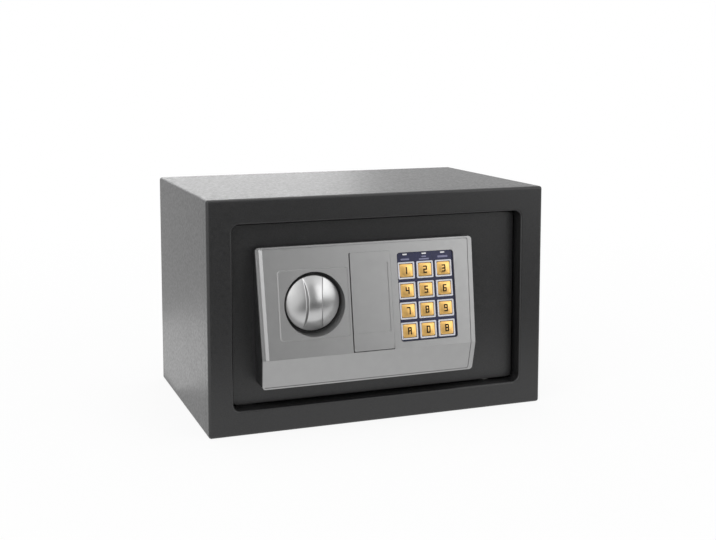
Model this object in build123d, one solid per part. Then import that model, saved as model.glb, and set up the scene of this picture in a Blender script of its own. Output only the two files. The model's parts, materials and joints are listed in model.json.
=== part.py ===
"""Small electronic safe deposit box: steel cabinet, hinged door, keypad panel and lock works.

Frame: the origin is the centre of the cabinet's bottom face, +X to the right as seen from
the front, +Y into the cabinet, +Z up. Millimetres. The door is closed, its bolts withdrawn.
"""
import os
from math import atan2, cos, degrees, radians, sin, tan
from build123d import *

# ---------------------------------------------------------------- cabinet
CABINET_WIDTH = 310.0
CABINET_DEPTH = 200.0
CABINET_HEIGHT = 200.0
SHEET = 1.5                    # cabinet sheet steel
CABINET_EDGE_RADIUS = 2.5      # outside bend of the cabinet's edges
FRAME_BORDER = 21.5            # front frame, cabinet's outside to the opening
FRAME_ROLL = 2.0               # outside bend of the opening's edge
OPENING_CORNER = 6.0
LIP_DEPTH = 22.0               # how far the opening's lip runs back
FRONT_SKIRT = 10.0             # how far the front frame wraps round the cabinet's sides
BACK_SKIRT = 2.5
ANCHOR_HOLE_D = 9.0
ANCHOR_SPACING = 160.0
MAT_THICKNESS = 2.0
MAT_MARGIN = 1.5
MAT_CUTOUT_D = 24.0

# ---------------------------------------------------------------- door
DOOR_THICKNESS = 3.0
DOOR_RECESS = 12.0             # door's front behind the cabinet's front
DOOR_GAP = 1.5                 # door's edge to the lip
HINGE_INSET = 25.0             # hinge axis from the door's right edge
HINGE_SETBACK = 7.5            # hinge axis behind the door's front
HINGE_PIN_D = 5.0
HINGE_PIN_LENGTH = 27.0
HINGE_PIN_HEAD_D = 8.0
HINGE_PIN_HEAD = 1.5
HINGE_BLOCK_WIDTH = 14.0
HINGE_BLOCK_DEPTH = 11.0
HINGE_BLOCK_HEIGHT = 25.0
HINGE_WASHER_D = 9.0
HINGE_BRACKET = 3.0            # thickness of the bracket welded on the lip
HINGE_BRACKET_WIDTH = 24.0
HINGE_BRACKET_REACH = 9.0      # bracket past the hinge axis, into the cabinet
STOP_WIDTH = 16.0
STOP_HEIGHT = 2.9
STOP_INSET = 6.0               # door stop from the opening's left side
SEAT_GAP = 0.3                 # air between a moving piece and the seat it stops on
RUNNING = 0.05                 # radial clearance of a turning shaft
SLIDING = 0.3                  # clearance each side of a sliding piece

# ---------------------------------------------------------------- front panel
PANEL_BOTTOM_UP = -60.2
PANEL_KINK_UP = -34.5          # where the sloping face meets the chin
PANEL_TOP_UP = 58.0
PANEL_TOP_OUT = 9.0            # panel's front from the door's front, at its top edge
PANEL_KINK_OUT = 24.0
PANEL_BOTTOM_OUT = 19.0
PANEL_LEFT_TOP = -113.7
PANEL_LEFT_KINK = -112.0
PANEL_LEFT_BOTTOM = -111.0
PANEL_RIGHT_TOP = 84.8
PANEL_RIGHT_KINK = 82.8
PANEL_RIGHT_BOTTOM = 82.0
PANEL_CORNER = 3.0
PANEL_CLEAR = 9.0              # cutting tools start this far in front of the panel
PLATE_THICKNESS = 1.6          # silver face plate
PLATE_FIELD = 0.8              # how far the plate's front stands above its nominal surface
PLATE_LIP, PLATE_LIP_RIGHT = 1.3, 3.9    # rim outside the plate's groove
PLATE_GROOVE, PLATE_GROOVE_FLOOR = 0.6, 0.0
LEFT_GROOVE, LEFT_GROOVE_FLOOR = 1.9, -0.6    # wider groove up the sloping face's left
LEFT_RAMP = 2.6                # from that groove up to the field
BASE_INSET = 0.4               # black base inside the plate's edge
BASE_WALL = 2.0
BASE_DECK = 1.8                # base's front wall under the face plate
BOSS_D = 8.0
PANEL_SCREW_D = 3.5
PANEL_SCREW_X = (-98.0, 75.0)
PANEL_SCREW_UP = (-51.0, 48.0)
PAD_LEFT, PAD_RIGHT = -96.0, -33.5
PAD_BOTTOM_UP, PAD_TOP_UP = -20.0, 38.5
PAD_CORNER = 3.0
PAD_HEIGHT = 0.8
PAD_DRAFT = 45.0               # degrees that the pad's sides lean

# ---------------------------------------------------------------- knob
KNOB_X = -64.3
KNOB_UP = 9.0
KNOB_D = 48.0
KNOB_RIM_OUT = 12.0            # knob's rim from the door's front
KNOB_DOME = 5.6
KNOB_SKIRT = 5.6
KNOB_WALL = 2.6
KNOB_BOSS_D = 16.0
GRIP_WIDTH = 11.0              # bar across the knob, at its top
GRIP_RISE = 9.0                # bar's top above the rim, at the knob's middle
GRIP_DRAFT = 20.0              # degrees that each side of the bar leans
GRIP_END_INSET = 1.0           # bar's arc stops inside the rim
RECESS_D = 54.0
RECESS_FLOOR_OUT = 5.8         # recess floor from the door's front
RECESS_WALL = 1.6
SLEEVE_WALL = 1.2              # face plate's own lining of the recess
SLEEVE_GAP = 0.2
SPINDLE_D = 8.0
SPINDLE_GRIP = 10.0            # spindle's length inside the knob
SPINDLE_COLLAR_D = 12.0
SPINDLE_COLLAR = 1.1
BUSH_D = 12.0
BUSH_FLANGE_D = 16.0
BUSH_FLANGE = 1.2
DISC_D = 30.0
DISC_THICKNESS = 3.0
KNOB_TURN = 90.0               # degrees from bolts withdrawn to bolts out
BOLT_THROW = 14.0
CRANK_PIN_D = 5.0
CRANK_PLAY = 0.6               # each side of the crank pin in its slot

# ---------------------------------------------------------------- bolt work
CARRIAGE_THICKNESS = 2.0
CARRIAGE_TO_GUIDE = 15.0        # carriage to the bolt guide, bolts withdrawn
CARRIAGE_RIGHT = -25.0
CARRIAGE_BOTTOM_UP = -45.0
CARRIAGE_TOP_UP = 45.0
CARRIAGE_GAP = 0.5             # drive disc to the carriage
FLANGE_DEPTH = 19.0
BOLT_D = 12.0
BOLT_UP = (-35.0, 35.0)
BOLT_TIP_INSET = 3.0           # bolt's end to the door's left edge, bolts withdrawn
BOLT_BEHIND_LIP = 1.0          # bolt's front behind the lip's back edge
BOLT_TENON_D = 8.0
BOLT_HEAD_D = 11.0
BOLT_HEAD = 1.5
GUIDE_INSET = 14.0             # bolt guide to the door's left edge
GUIDE_THICKNESS = 3.0
GUIDE_FOOT = 12.0
GUIDE_FOOT_THICKNESS = 2.5
GUIDE_BOTTOM_UP, GUIDE_TOP_UP = -46.0, 44.0
GUIDE_BORE_CLEARANCE = 0.15
STUD_D = 6.0
STUD_SHOULDER_D = 10.0
STUD_X = -50.0
STUD_UP = (-28.0, 37.0)
CLIP_D = 11.0
CLIP_THICKNESS = 1.0
ARM_RIGHT = 10.0
ARM_BOTTOM_UP, ARM_TOP_UP = -42.0, -28.0
ARM_FLANGE_LEFT = -9.0

# ---------------------------------------------------------------- solenoid
SOLENOID_X = -12.0
SOLENOID_WIDTH = 24.0
SOLENOID_BOTTOM_UP, SOLENOID_TOP_UP = -17.0, 5.5
SOLENOID_SHEET = 1.5
COIL_D = 18.0
COIL_STANDOFF = 11.5           # plunger axis from the door's back
PLUNGER_D = 7.0
PLUNGER_LENGTH = 25.0
PLUNGER_COLLAR_D = 11.0
PLUNGER_COLLAR = 1.5
PLUNGER_COLLAR_LIFT = 1.8      # collar above the plunger's tip
PLUNGER_REST_GAP = 0.4
PLUNGER_HOLE_D = 8.5
SPRING_WIRE = 0.8
SPRING_TURNS = 4
EAR_WIDTH = 9.0
EAR_SCREW_UP = (-12.0, 0.5)
SMALL_SCREW_D = 3.0
SMALL_HEAD_D = 5.6
SMALL_HEAD = 2.0

# ---------------------------------------------------------------- override lock
LOCK_X = -12.4
LOCK_UP = 18.0
LOCK_FACE_OUT = 10.5           # lock's face from the door's front
LOCK_HEAD_D = 22.0
LOCK_HEAD = 2.0
LOCK_BODY_D = 18.0
LOCK_BODY_END = 13.0           # lock's body behind the door's back
LOCK_PLUG_D = 12.0
LOCK_TAIL = 4.0
LOCK_SHROUD_D = 26.0
LOCK_HOLE_CLEARANCE = 0.2
KEYWAY_WIDTH, KEYWAY_HEIGHT, KEYWAY_DEPTH = 2.0, 7.0, 18.0
LOCK_NUT_D = 24.0
LOCK_NUT = 3.0
CAM_WIDTH = 10.0
CAM_LENGTH = 24.0
CAM_THICKNESS = 2.0
COVER_LEFT, COVER_RIGHT = -30.8, 6.2
COVER_BOTTOM_V, COVER_TOP_V = 0.7, 84.9
COVER_STRIP, COVER_STRIP_DEPTH = 3.6, 0.4    # lower strip along the cover's bottom
COVER_GAP_LEFT, COVER_GAP_BOTTOM = 1.0, 0.6
COVER_SNUG = 0.1               # gap along its right and top
COVER_INSET_DEPTH = 0.6
COVER_INSET_LEFT, COVER_INSET_RIGHT = -28.0, 3.6
COVER_INSET_BOTTOM_UP, COVER_INSET_TOP_UP = -19.0, 40.0
COVER_CLIP = 4.0
COVER_CLIP_WIDTH = 8.0

# ---------------------------------------------------------------- keypad
WINDOW_LEFT, WINDOW_RIGHT = 12.5, 66.3
WINDOW_BOTTOM_UP, WINDOW_TOP_UP = -29.0, 47.0
WINDOW_CORNER = 2.5
WINDOW_CLEARANCE = 0.15
LABEL_THICKNESS = 0.3
KEY_NAMES = (("1", "2", "3"), ("4", "5", "6"), ("7", "8", "9"), ("a", "0", "b"))
KEY_FIRST_X = 21.0             # centre of the left column
KEY_PITCH_X = 17.7
KEY_FIRST_UP = 31.4            # centre of the top row
KEY_PITCH_Z = 17.2
KEY_FRAME_WIDTH, KEY_FRAME_HEIGHT = 15.6, 14.8
KEY_FRAME_BAR = 1.4
KEY_FRAME_RISE = 1.6           # above the label
KEY_CLEARANCE = 0.35
KEY_CAP_RISE = 1.9             # key's top above the label
KEY_CAP_EDGE = 0.5
KEY_FLANGE = 0.9               # how far a key's retaining flange stands out
KEY_FLANGE_THICKNESS = 1.0
KEY_FLANGE_GAP = 0.2
KEY_TRAVEL = 0.8
KEY_SWITCH_GAP = 0.2           # left between key and switch at full travel
SWITCH_SIZE = 6.0
SWITCH_BODY = 2.4
SWITCH_ACTUATOR_D = 3.4
SWITCH_ACTUATOR = 0.4
BOARD_THICKNESS = 1.6
BOARD_MARGIN = 1.0
BOARD_TOP_V = 82.6
LED_X = (20.8, 39.0, 56.7)
LED_UP = 45.2
LED_WIDTH, LED_HEIGHT = 4.0, 1.3
LED_RISE = 0.15

# ---------------------------------------------------------------- inner cover and batteries
INNER_SIDE_GAP = 11.5          # inner cover to the opening's left side
INNER_HINGE_GAP = 11.0         # inner cover to the hinge axis
INNER_END_GAP = 10.5           # inner cover to the opening's bottom and top
INNER_DEPTH = 33.0
INNER_SHEET = 1.0
INNER_FLANGE = 7.0
INNER_SCREW_INSET = 10.0
INNER_SCREW_D = 4.0
INNER_HEAD_D = 6.4
INNER_HEAD = 2.2
BLIND_DEPTH = 2.2
CELL_D = 14.3
CELL_LENGTH = 49.3
CELL_TIP = 1.2
CELL_TIP_D = 5.5
CELL_COUNT = 4
CELL_PITCH = 15.0
CELL_FREE = 0.4
TRAY_INSET = 41.0              # tray's centre from the inner cover's right side
TRAY_UP = 3.0
TRAY_WALL = 1.5
TRAY_END = 3.0                 # room for a contact at each end of a cell
CONTACT_THICKNESS = 0.5
CONTACT_WIDTH = 9.0
LID_OVERLAP = 3.0
LID_THICKNESS = 1.8
LID_RAIL = 1.6
LID_GRIP_WIDTH, LID_GRIP_RISE = 22.0, 0.9
RESET_INSET = 20.0             # reset button from the inner cover's right side
RESET_UP = -52.0
RESET_D = 8.0
RESET_RISE = 2.5
RESET_TRAVEL = 1.5
RESET_FLANGE_D = 11.0
RESET_FLANGE = 1.0
RESET_SWITCH = 9.0
RESET_SWITCH_DEPTH = 6.0

# ---------------------------------------------------------------- wiring
GROMMET_X, GROMMET_UP = 40.0, -24.0
GROMMET_HOLE_D = 12.0
GROMMET_LIP_D = 16.0
GROMMET_LIP = 1.5
GROMMET_BORE_D = 9.0
LEAD_D = 2.0
LEAD_SPACING = 2.4
LEAD_BEND = 6.2
PLUG_WIDTH, PLUG_HEIGHT, PLUG_DEPTH = 12.0, 6.0, 4.0

# ---------------------------------------------------------------- derived places
# heights named ..._UP are measured from the door's middle, which the panel and lock works keep to
MIDDLE_Z = CABINET_HEIGHT / 2
PANEL_BOTTOM_Z = MIDDLE_Z + PANEL_BOTTOM_UP
PANEL_KINK_Z = MIDDLE_Z + PANEL_KINK_UP
PANEL_TOP_Z = MIDDLE_Z + PANEL_TOP_UP
PANEL_SCREW_Z = [MIDDLE_Z + up for up in PANEL_SCREW_UP]
PAD_BOTTOM_Z = MIDDLE_Z + PAD_BOTTOM_UP
PAD_TOP_Z = MIDDLE_Z + PAD_TOP_UP
KNOB_Z = MIDDLE_Z + KNOB_UP
CARRIAGE_BOTTOM_Z = MIDDLE_Z + CARRIAGE_BOTTOM_UP
CARRIAGE_TOP_Z = MIDDLE_Z + CARRIAGE_TOP_UP
BOLT_Z = [MIDDLE_Z + up for up in BOLT_UP]
GUIDE_BOTTOM_Z = MIDDLE_Z + GUIDE_BOTTOM_UP
GUIDE_TOP_Z = MIDDLE_Z + GUIDE_TOP_UP
STUD_Z = [MIDDLE_Z + up for up in STUD_UP]
ARM_BOTTOM_Z = MIDDLE_Z + ARM_BOTTOM_UP
ARM_TOP_Z = MIDDLE_Z + ARM_TOP_UP
SOLENOID_BOTTOM_Z = MIDDLE_Z + SOLENOID_BOTTOM_UP
SOLENOID_TOP_Z = MIDDLE_Z + SOLENOID_TOP_UP
EAR_SCREW_Z = [MIDDLE_Z + up for up in EAR_SCREW_UP]
LOCK_Z = MIDDLE_Z + LOCK_UP
COVER_INSET_BOTTOM_Z = MIDDLE_Z + COVER_INSET_BOTTOM_UP
COVER_INSET_TOP_Z = MIDDLE_Z + COVER_INSET_TOP_UP
WINDOW_BOTTOM_Z = MIDDLE_Z + WINDOW_BOTTOM_UP
WINDOW_TOP_Z = MIDDLE_Z + WINDOW_TOP_UP
KEY_FIRST_Z = MIDDLE_Z + KEY_FIRST_UP
LED_Z = MIDDLE_Z + LED_UP
TRAY_Z = MIDDLE_Z + TRAY_UP
RESET_Z = MIDDLE_Z + RESET_UP
GROMMET_Z = MIDDLE_Z + GROMMET_UP
FRONT_Y = -CABINET_DEPTH / 2
BACK_Y = CABINET_DEPTH / 2
OPENING_X = CABINET_WIDTH / 2 - FRAME_BORDER
OPENING_LOW_Z = FRAME_BORDER
OPENING_HIGH_Z = CABINET_HEIGHT - FRAME_BORDER
LIP_BACK_Y = FRONT_Y + LIP_DEPTH
DOOR_X = OPENING_X - DOOR_GAP
DOOR_LOW_Z = OPENING_LOW_Z + DOOR_GAP
DOOR_HIGH_Z = OPENING_HIGH_Z - DOOR_GAP
DOOR_FRONT_Y = FRONT_Y + DOOR_RECESS
DOOR_BACK_Y = DOOR_FRONT_Y + DOOR_THICKNESS
HINGE_X = DOOR_X - HINGE_INSET
HINGE_Y = DOOR_FRONT_Y + HINGE_SETBACK
GUIDE_X = GUIDE_INSET - DOOR_X
BOLT_TIP = BOLT_TIP_INSET - DOOR_X
CARRIAGE_LEFT = GUIDE_X + GUIDE_THICKNESS + CARRIAGE_TO_GUIDE
INNER_LEFT = INNER_SIDE_GAP - OPENING_X
INNER_RIGHT = HINGE_X - INNER_HINGE_GAP
INNER_BOTTOM_Z = OPENING_LOW_Z + INNER_END_GAP
INNER_TOP_Z = OPENING_HIGH_Z - INNER_END_GAP
INNER_SCREW_X = (INNER_LEFT + INNER_SCREW_INSET, (INNER_LEFT + INNER_RIGHT) / 2,
                 INNER_RIGHT - INNER_SCREW_INSET)
TRAY_X = INNER_RIGHT - TRAY_INSET
RESET_X = INNER_RIGHT - RESET_INSET
KINK_Y = DOOR_FRONT_Y - PANEL_KINK_OUT
PANEL_CLEAR_Y = KINK_Y - PANEL_CLEAR
TOP_Y = DOOR_FRONT_Y - PANEL_TOP_OUT
CHIN_Y = DOOR_FRONT_Y - PANEL_BOTTOM_OUT
FACE_TILT = atan2(TOP_Y - KINK_Y, PANEL_TOP_Z - PANEL_KINK_Z)
FACE = Plane(origin=(0, KINK_Y, PANEL_KINK_Z), x_dir=(1, 0, 0),
             z_dir=(0, -cos(FACE_TILT), sin(FACE_TILT)))
FACE_OUT = Axis((0, KINK_Y, PANEL_KINK_Z), (0, -cos(FACE_TILT), sin(FACE_TILT)))
DECK_TOP_W = -PLATE_THICKNESS
DECK_UNDER_W = DECK_TOP_W - BASE_DECK
LABEL_TOP_W = DECK_TOP_W + LABEL_THICKNESS
KEY_UNDER_W = DECK_UNDER_W - KEY_FLANGE_GAP - KEY_FLANGE_THICKNESS
SWITCH_TOP_W = KEY_UNDER_W - KEY_TRAVEL - KEY_SWITCH_GAP
BOARD_FRONT_W = SWITCH_TOP_W - SWITCH_ACTUATOR - SWITCH_BODY
BOARD_BACK_W = BOARD_FRONT_W - BOARD_THICKNESS
RIM_Y = DOOR_FRONT_Y - KNOB_RIM_OUT
KNOB_BACK_Y = RIM_Y + KNOB_SKIRT
RECESS_FLOOR_Y = DOOR_FRONT_Y - RECESS_FLOOR_OUT
CRANK_RADIUS = BOLT_THROW / 2 / sin(radians(KNOB_TURN / 2))
DISC_FRONT_Y = DOOR_BACK_Y + SEAT_GAP
DISC_BACK_Y = DISC_FRONT_Y + DISC_THICKNESS
CARRIAGE_FRONT_Y = DISC_BACK_Y + CARRIAGE_GAP
CARRIAGE_BACK_Y = CARRIAGE_FRONT_Y + CARRIAGE_THICKNESS
BOLT_Y = LIP_BACK_Y + BOLT_BEHIND_LIP + BOLT_D / 2
PLUNGER_Y = DOOR_BACK_Y + COIL_STANDOFF
PLUNGER_TIP_Z = ARM_TOP_Z + PLUNGER_REST_GAP
COLLAR_LOW_Z = PLUNGER_TIP_Z + PLUNGER_COLLAR_LIFT
COLLAR_HIGH_Z = COLLAR_LOW_Z + PLUNGER_COLLAR
LOCK_FACE_Y = DOOR_FRONT_Y - LOCK_FACE_OUT
LOCK_END_Y = DOOR_BACK_Y + LOCK_BODY_END
INNER_BACK_Y = DOOR_BACK_Y + INNER_DEPTH
TRAY_LENGTH = CELL_LENGTH + 2 * TRAY_END
TRAY_INNER_HEIGHT = CELL_PITCH * (CELL_COUNT - 1) + CELL_D + 2 * CELL_FREE
TRAY_FLOOR_Y = INNER_BACK_Y - INNER_SHEET - CELL_D - 2 * CELL_FREE - TRAY_WALL


# ---------------------------------------------------------------- helpers
def block(x0, x1, y0, y1, z0, z1):
    """Box given by its limits along X, Y and Z."""
    centre = ((x0 + x1) / 2, (y0 + y1) / 2, (z0 + z1) / 2)
    return Pos(*centre) * Box(abs(x1 - x0), abs(y1 - y0), abs(z1 - z0))


def rod_x(y, z, diameter, x0, x1):
    return Pos((x0 + x1) / 2, y, z) * Rot(0, 90, 0) * Cylinder(diameter / 2, abs(x1 - x0))


def rod_y(x, z, diameter, y0, y1):
    return Pos(x, (y0 + y1) / 2, z) * Rot(90, 0, 0) * Cylinder(diameter / 2, abs(y1 - y0))


def rod_z(x, y, diameter, z0, z1):
    return Pos(x, y, (z0 + z1) / 2) * Cylinder(diameter / 2, abs(z1 - z0))


def rounded_tube(half_width, z0, z1, radius, y0, y1):
    """Solid rounded rectangle in X and Z, running along Y."""
    outline = RectangleRounded(2 * half_width, z1 - z0, radius)
    plane = Plane(origin=(0, y1, (z0 + z1) / 2), x_dir=(1, 0, 0), z_dir=(0, -1, 0))
    return extrude(plane * outline, amount=y1 - y0)


def on_face(solid):
    """Place a solid made in face coordinates: u right, v up the slope, w outward."""
    return FACE.location * solid


def slab(u0, u1, v0, v1, w0, w1, radius=0.0, draft=0.0):
    """Slab parallel to the sloping face, with rounded corners and leaning sides where they are given."""
    width, height = u1 - u0, v1 - v0
    outline = RectangleRounded(width, height, radius) if radius else Rectangle(width, height)
    place = Pos((u0 + u1) / 2, (v0 + v1) / 2, w0)
    return on_face(place * extrude(outline, amount=w1 - w0, taper=draft))


def slope_v(z):
    """Distance up the sloping face from the kink to height z."""
    return (z - PANEL_KINK_Z) / cos(FACE_TILT)


def long_hole(x0, x1, z, width, y0, y1):
    """Horizontal slot through a plate, with round ends, from x0 to x1 at its tips."""
    radius = width / 2
    middle = block(x0 + radius, x1 - radius, y0, y1, z - radius, z + radius)
    ends = [rod_y(x, z, width, y0, y1) for x in (x0 + radius, x1 - radius)]
    return middle + ends[0] + ends[1]


def save(name, *solids):
    """Write a node: each solid stays a body of its own."""
    shape = solids[0] if len(solids) == 1 else Compound(children=list(solids))
    export_step(shape, f"parts/{name}.step")


# ---------------------------------------------------------------- cabinet pieces
def cabinet_solid(shrink, radius):
    """Cabinet's outside, or its inside when shrunk by the sheet."""
    half = CABINET_WIDTH / 2 - shrink
    solid = block(-half, half, FRONT_Y + shrink, BACK_Y - shrink, shrink, CABINET_HEIGHT - shrink)
    return fillet(solid.edges(), radius)


def make_cabinet():
    skin = cabinet_solid(0, CABINET_EDGE_RADIUS) - cabinet_solid(SHEET, CABINET_EDGE_RADIUS - SHEET)
    reach = CABINET_WIDTH
    front_seam = FRONT_Y + FRONT_SKIRT
    back_seam = BACK_Y - BACK_SKIRT
    anchors_x = (-ANCHOR_SPACING / 2, ANCHOR_SPACING / 2)

    shell = skin & block(-reach, reach, front_seam, back_seam, -reach, reach)
    for x in anchors_x:
        shell -= rod_z(x, 0, ANCHOR_HOLE_D, -SHEET, 2 * SHEET)
    save("body_shell", shell)

    back = skin & block(-reach, reach, back_seam, BACK_Y + SHEET, -reach, reach)
    for x in anchors_x:
        back -= rod_y(x, CABINET_HEIGHT / 2, ANCHOR_HOLE_D, BACK_Y - 2 * SHEET, BACK_Y + SHEET)
    save("back_panel", back)

    frame = skin & block(-reach, reach, FRONT_Y - SHEET, front_seam, -reach, reach)
    frame += rounded_tube(OPENING_X + SHEET, OPENING_LOW_Z - SHEET, OPENING_HIGH_Z + SHEET,
                          OPENING_CORNER + SHEET, FRONT_Y, LIP_BACK_Y)
    frame -= rounded_tube(OPENING_X, OPENING_LOW_Z, OPENING_HIGH_Z, OPENING_CORNER,
                          FRONT_Y - SHEET, LIP_BACK_Y + SHEET)
    mouth = [edge for edge in frame.edges().filter_by_position(Axis.Y, FRONT_Y, FRONT_Y)
             if abs(edge.center().X) <= OPENING_X and
             OPENING_LOW_Z <= edge.center().Z <= OPENING_HIGH_Z]
    frame = fillet(mouth, FRAME_ROLL)
    pin_hole = HINGE_PIN_D + 2 * RUNNING
    frame -= rod_z(HINGE_X, HINGE_Y, pin_hole, OPENING_HIGH_Z - SHEET, OPENING_HIGH_Z + 2 * SHEET)
    frame -= rod_z(HINGE_X, HINGE_Y, pin_hole, OPENING_LOW_Z - 2 * SHEET, OPENING_LOW_Z + SHEET)
    save("front_frame", frame)

    inside_x = CABINET_WIDTH / 2 - SHEET - MAT_MARGIN
    mat = block(-inside_x, inside_x, FRONT_Y + SHEET + MAT_MARGIN, BACK_Y - SHEET - MAT_MARGIN,
                SHEET, SHEET + MAT_THICKNESS)
    mat = fillet(mat.edges().filter_by(Axis.Z), OPENING_CORNER)
    for x in anchors_x:
        mat -= rod_z(x, 0, MAT_CUTOUT_D, 0, SHEET + 2 * MAT_THICKNESS)
    save("floor_mat", mat)


def make_stops():
    left = -OPENING_X + STOP_INSET
    y0 = DOOR_BACK_Y + SEAT_GAP
    save("door_stops",
         block(left, left + STOP_WIDTH, y0, LIP_BACK_Y, OPENING_HIGH_Z - STOP_HEIGHT, OPENING_HIGH_Z),
         block(left, left + STOP_WIDTH, y0, LIP_BACK_Y, OPENING_LOW_Z, OPENING_LOW_Z + STOP_HEIGHT))


# ---------------------------------------------------------------- hinge
def hinge_end(side):
    """Bracket, pin, washer and block at one end; side is +1 at the top, -1 at the bottom."""
    lip = OPENING_HIGH_Z if side > 0 else OPENING_LOW_Z
    edge = DOOR_HIGH_Z if side > 0 else DOOR_LOW_Z
    bracket_low = lip + side * SHEET
    bracket_high = bracket_low + side * HINGE_BRACKET
    half = HINGE_BRACKET_WIDTH / 2
    bracket = block(HINGE_X - half, HINGE_X + half, FRONT_Y + 2 * SHEET, HINGE_Y + HINGE_BRACKET_REACH,
                    bracket_low, bracket_high)
    bracket -= rod_z(HINGE_X, HINGE_Y, HINGE_PIN_D, bracket_low - side, bracket_high + side)
    pin = rod_z(HINGE_X, HINGE_Y, HINGE_PIN_D, bracket_high, bracket_high - side * HINGE_PIN_LENGTH)
    pin = chamfer(pin.edges().group_by(Axis.Z)[0 if side > 0 else -1], HINGE_PIN_D / 10)
    pin += rod_z(HINGE_X, HINGE_Y, HINGE_PIN_HEAD_D, bracket_high, bracket_high + side * HINGE_PIN_HEAD)
    bore = HINGE_PIN_D + 2 * RUNNING
    washer_top = lip - side * SEAT_GAP
    washer = rod_z(HINGE_X, HINGE_Y, HINGE_WASHER_D, edge, washer_top)
    washer -= rod_z(HINGE_X, HINGE_Y, bore, edge - side, washer_top + side)
    half = HINGE_BLOCK_WIDTH / 2
    inner = edge - side * HINGE_BLOCK_HEIGHT
    knuckle = block(HINGE_X - half, HINGE_X + half, DOOR_BACK_Y, DOOR_BACK_Y + HINGE_BLOCK_DEPTH,
                    inner, edge)
    knuckle = chamfer(knuckle.edges().filter_by(Axis.Z).group_by(Axis.Y)[-1], HINGE_BLOCK_DEPTH / 5)
    knuckle -= rod_z(HINGE_X, HINGE_Y, bore, inner - side, edge + side)
    return bracket, pin, washer, knuckle


def make_hinges():
    upper, lower = hinge_end(1), hinge_end(-1)
    for index, name in enumerate(("hinge_brackets", "hinge_pins", "hinge_washers", "hinge_blocks")):
        save(name, upper[index], lower[index])


# ---------------------------------------------------------------- door plate
def inner_screw_places():
    rows = (INNER_BOTTOM_Z - INNER_FLANGE / 2, INNER_TOP_Z + INNER_FLANGE / 2)
    return [(x, z) for x in INNER_SCREW_X for z in rows]


def ear_screw_places():
    ear_x = SOLENOID_X + SOLENOID_WIDTH / 2 + EAR_WIDTH / 2
    return [(ear_x, z) for z in EAR_SCREW_Z]


def panel_screw_places():
    return [(x, z) for x in PANEL_SCREW_X for z in PANEL_SCREW_Z]


def make_door_plate():
    plate = rounded_tube(DOOR_X, DOOR_LOW_Z, DOOR_HIGH_Z, OPENING_CORNER - DOOR_GAP,
                         DOOR_FRONT_Y, DOOR_BACK_Y)
    plate = fillet(plate.edges().group_by(Axis.Y)[0], DOOR_THICKNESS / 4)
    through = (DOOR_FRONT_Y - 1, DOOR_BACK_Y + 1)
    plate -= rod_y(KNOB_X, KNOB_Z, BUSH_D, *through)
    plate -= rod_y(LOCK_X, LOCK_Z, LOCK_BODY_D + 2 * LOCK_HOLE_CLEARANCE, *through)
    plate -= rod_y(GROMMET_X, GROMMET_Z, GROMMET_HOLE_D, *through)
    for x, z in panel_screw_places():
        plate -= rod_y(x, z, PANEL_SCREW_D, *through)
    for x, z in inner_screw_places():
        plate -= rod_y(x, z, INNER_SCREW_D, DOOR_BACK_Y - BLIND_DEPTH, DOOR_BACK_Y + 1)
    for x, z in ear_screw_places():
        plate -= rod_y(x, z, SMALL_SCREW_D, DOOR_BACK_Y - BLIND_DEPTH, DOOR_BACK_Y + 1)
    save("door_plate", plate)


def screw_y(x, z, seat_y, diameter, length, head_d, head):
    """Pan-head screw driven towards -Y, its head seated at seat_y."""
    shank = rod_y(x, z, diameter, seat_y - length, seat_y)
    cap = rod_y(x, z, head_d, seat_y, seat_y + head)
    cap = fillet(cap.edges().group_by(Axis.Y)[-1], head / 3)
    bar = head_d * 0.55
    slot = diameter / 6
    cross = block(x - bar / 2, x + bar / 2, seat_y + head / 2, seat_y + 2 * head, z - slot, z + slot)
    cross += block(x - slot, x + slot, seat_y + head / 2, seat_y + 2 * head, z - bar / 2, z + bar / 2)
    return shank + cap - cross


# ---------------------------------------------------------------- front panel
def panel_outline(inset, right_inset=None):
    """Panel seen from the front: tapered, widest at the top, with rounded corners."""
    right = inset if right_inset is None else right_inset
    points = [(PANEL_LEFT_BOTTOM + inset, PANEL_BOTTOM_Z + inset), (PANEL_LEFT_KINK + inset, PANEL_KINK_Z),
              (PANEL_LEFT_TOP + inset, PANEL_TOP_Z - inset), (PANEL_RIGHT_TOP - right, PANEL_TOP_Z - inset),
              (PANEL_RIGHT_KINK - right, PANEL_KINK_Z), (PANEL_RIGHT_BOTTOM - right, PANEL_BOTTOM_Z + inset)]
    face = make_face(Plane.XZ * Polyline(*points, close=True))
    corners = [vertex for vertex in face.vertices() if abs(vertex.Z - PANEL_KINK_Z) > 1]
    face = fillet(corners, max(PANEL_CORNER - inset, 1.0))
    return extrude(face, amount=CABINET_DEPTH, both=True)


def panel_band(outer_w, inner_w):
    """Bent layer along the panel's front, between two distances from its nominal surface."""
    def profile(w):
        top = (TOP_Y - w / cos(FACE_TILT), PANEL_TOP_Z)
        chin_tilt = atan2(PANEL_KINK_OUT - PANEL_BOTTOM_OUT, PANEL_KINK_Z - PANEL_BOTTOM_Z)
        kink_shift = w / cos((FACE_TILT + chin_tilt) / 2)
        lean = (FACE_TILT - chin_tilt) / 2
        kink = (KINK_Y - kink_shift * cos(lean), PANEL_KINK_Z + kink_shift * sin(lean))
        bottom = (CHIN_Y - w / cos(chin_tilt), PANEL_BOTTOM_Z)
        return top, kink, bottom
    outer, inner = profile(outer_w), profile(inner_w)
    grow = 2 * PLATE_FIELD

    def lengthen(points):
        top, kink, bottom = points
        slope = (top[0] - kink[0]) / (top[1] - kink[1])
        chin = (kink[0] - bottom[0]) / (kink[1] - bottom[1])
        return (top[0] + slope * grow, top[1] + grow), kink, (bottom[0] - chin * grow, bottom[1] - grow)
    loop = list(lengthen(outer)) + list(reversed(lengthen(inner)))
    section = make_face(Plane.YZ * Polyline(*loop, close=True))
    return extrude(section, amount=CABINET_WIDTH, both=True)


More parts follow.
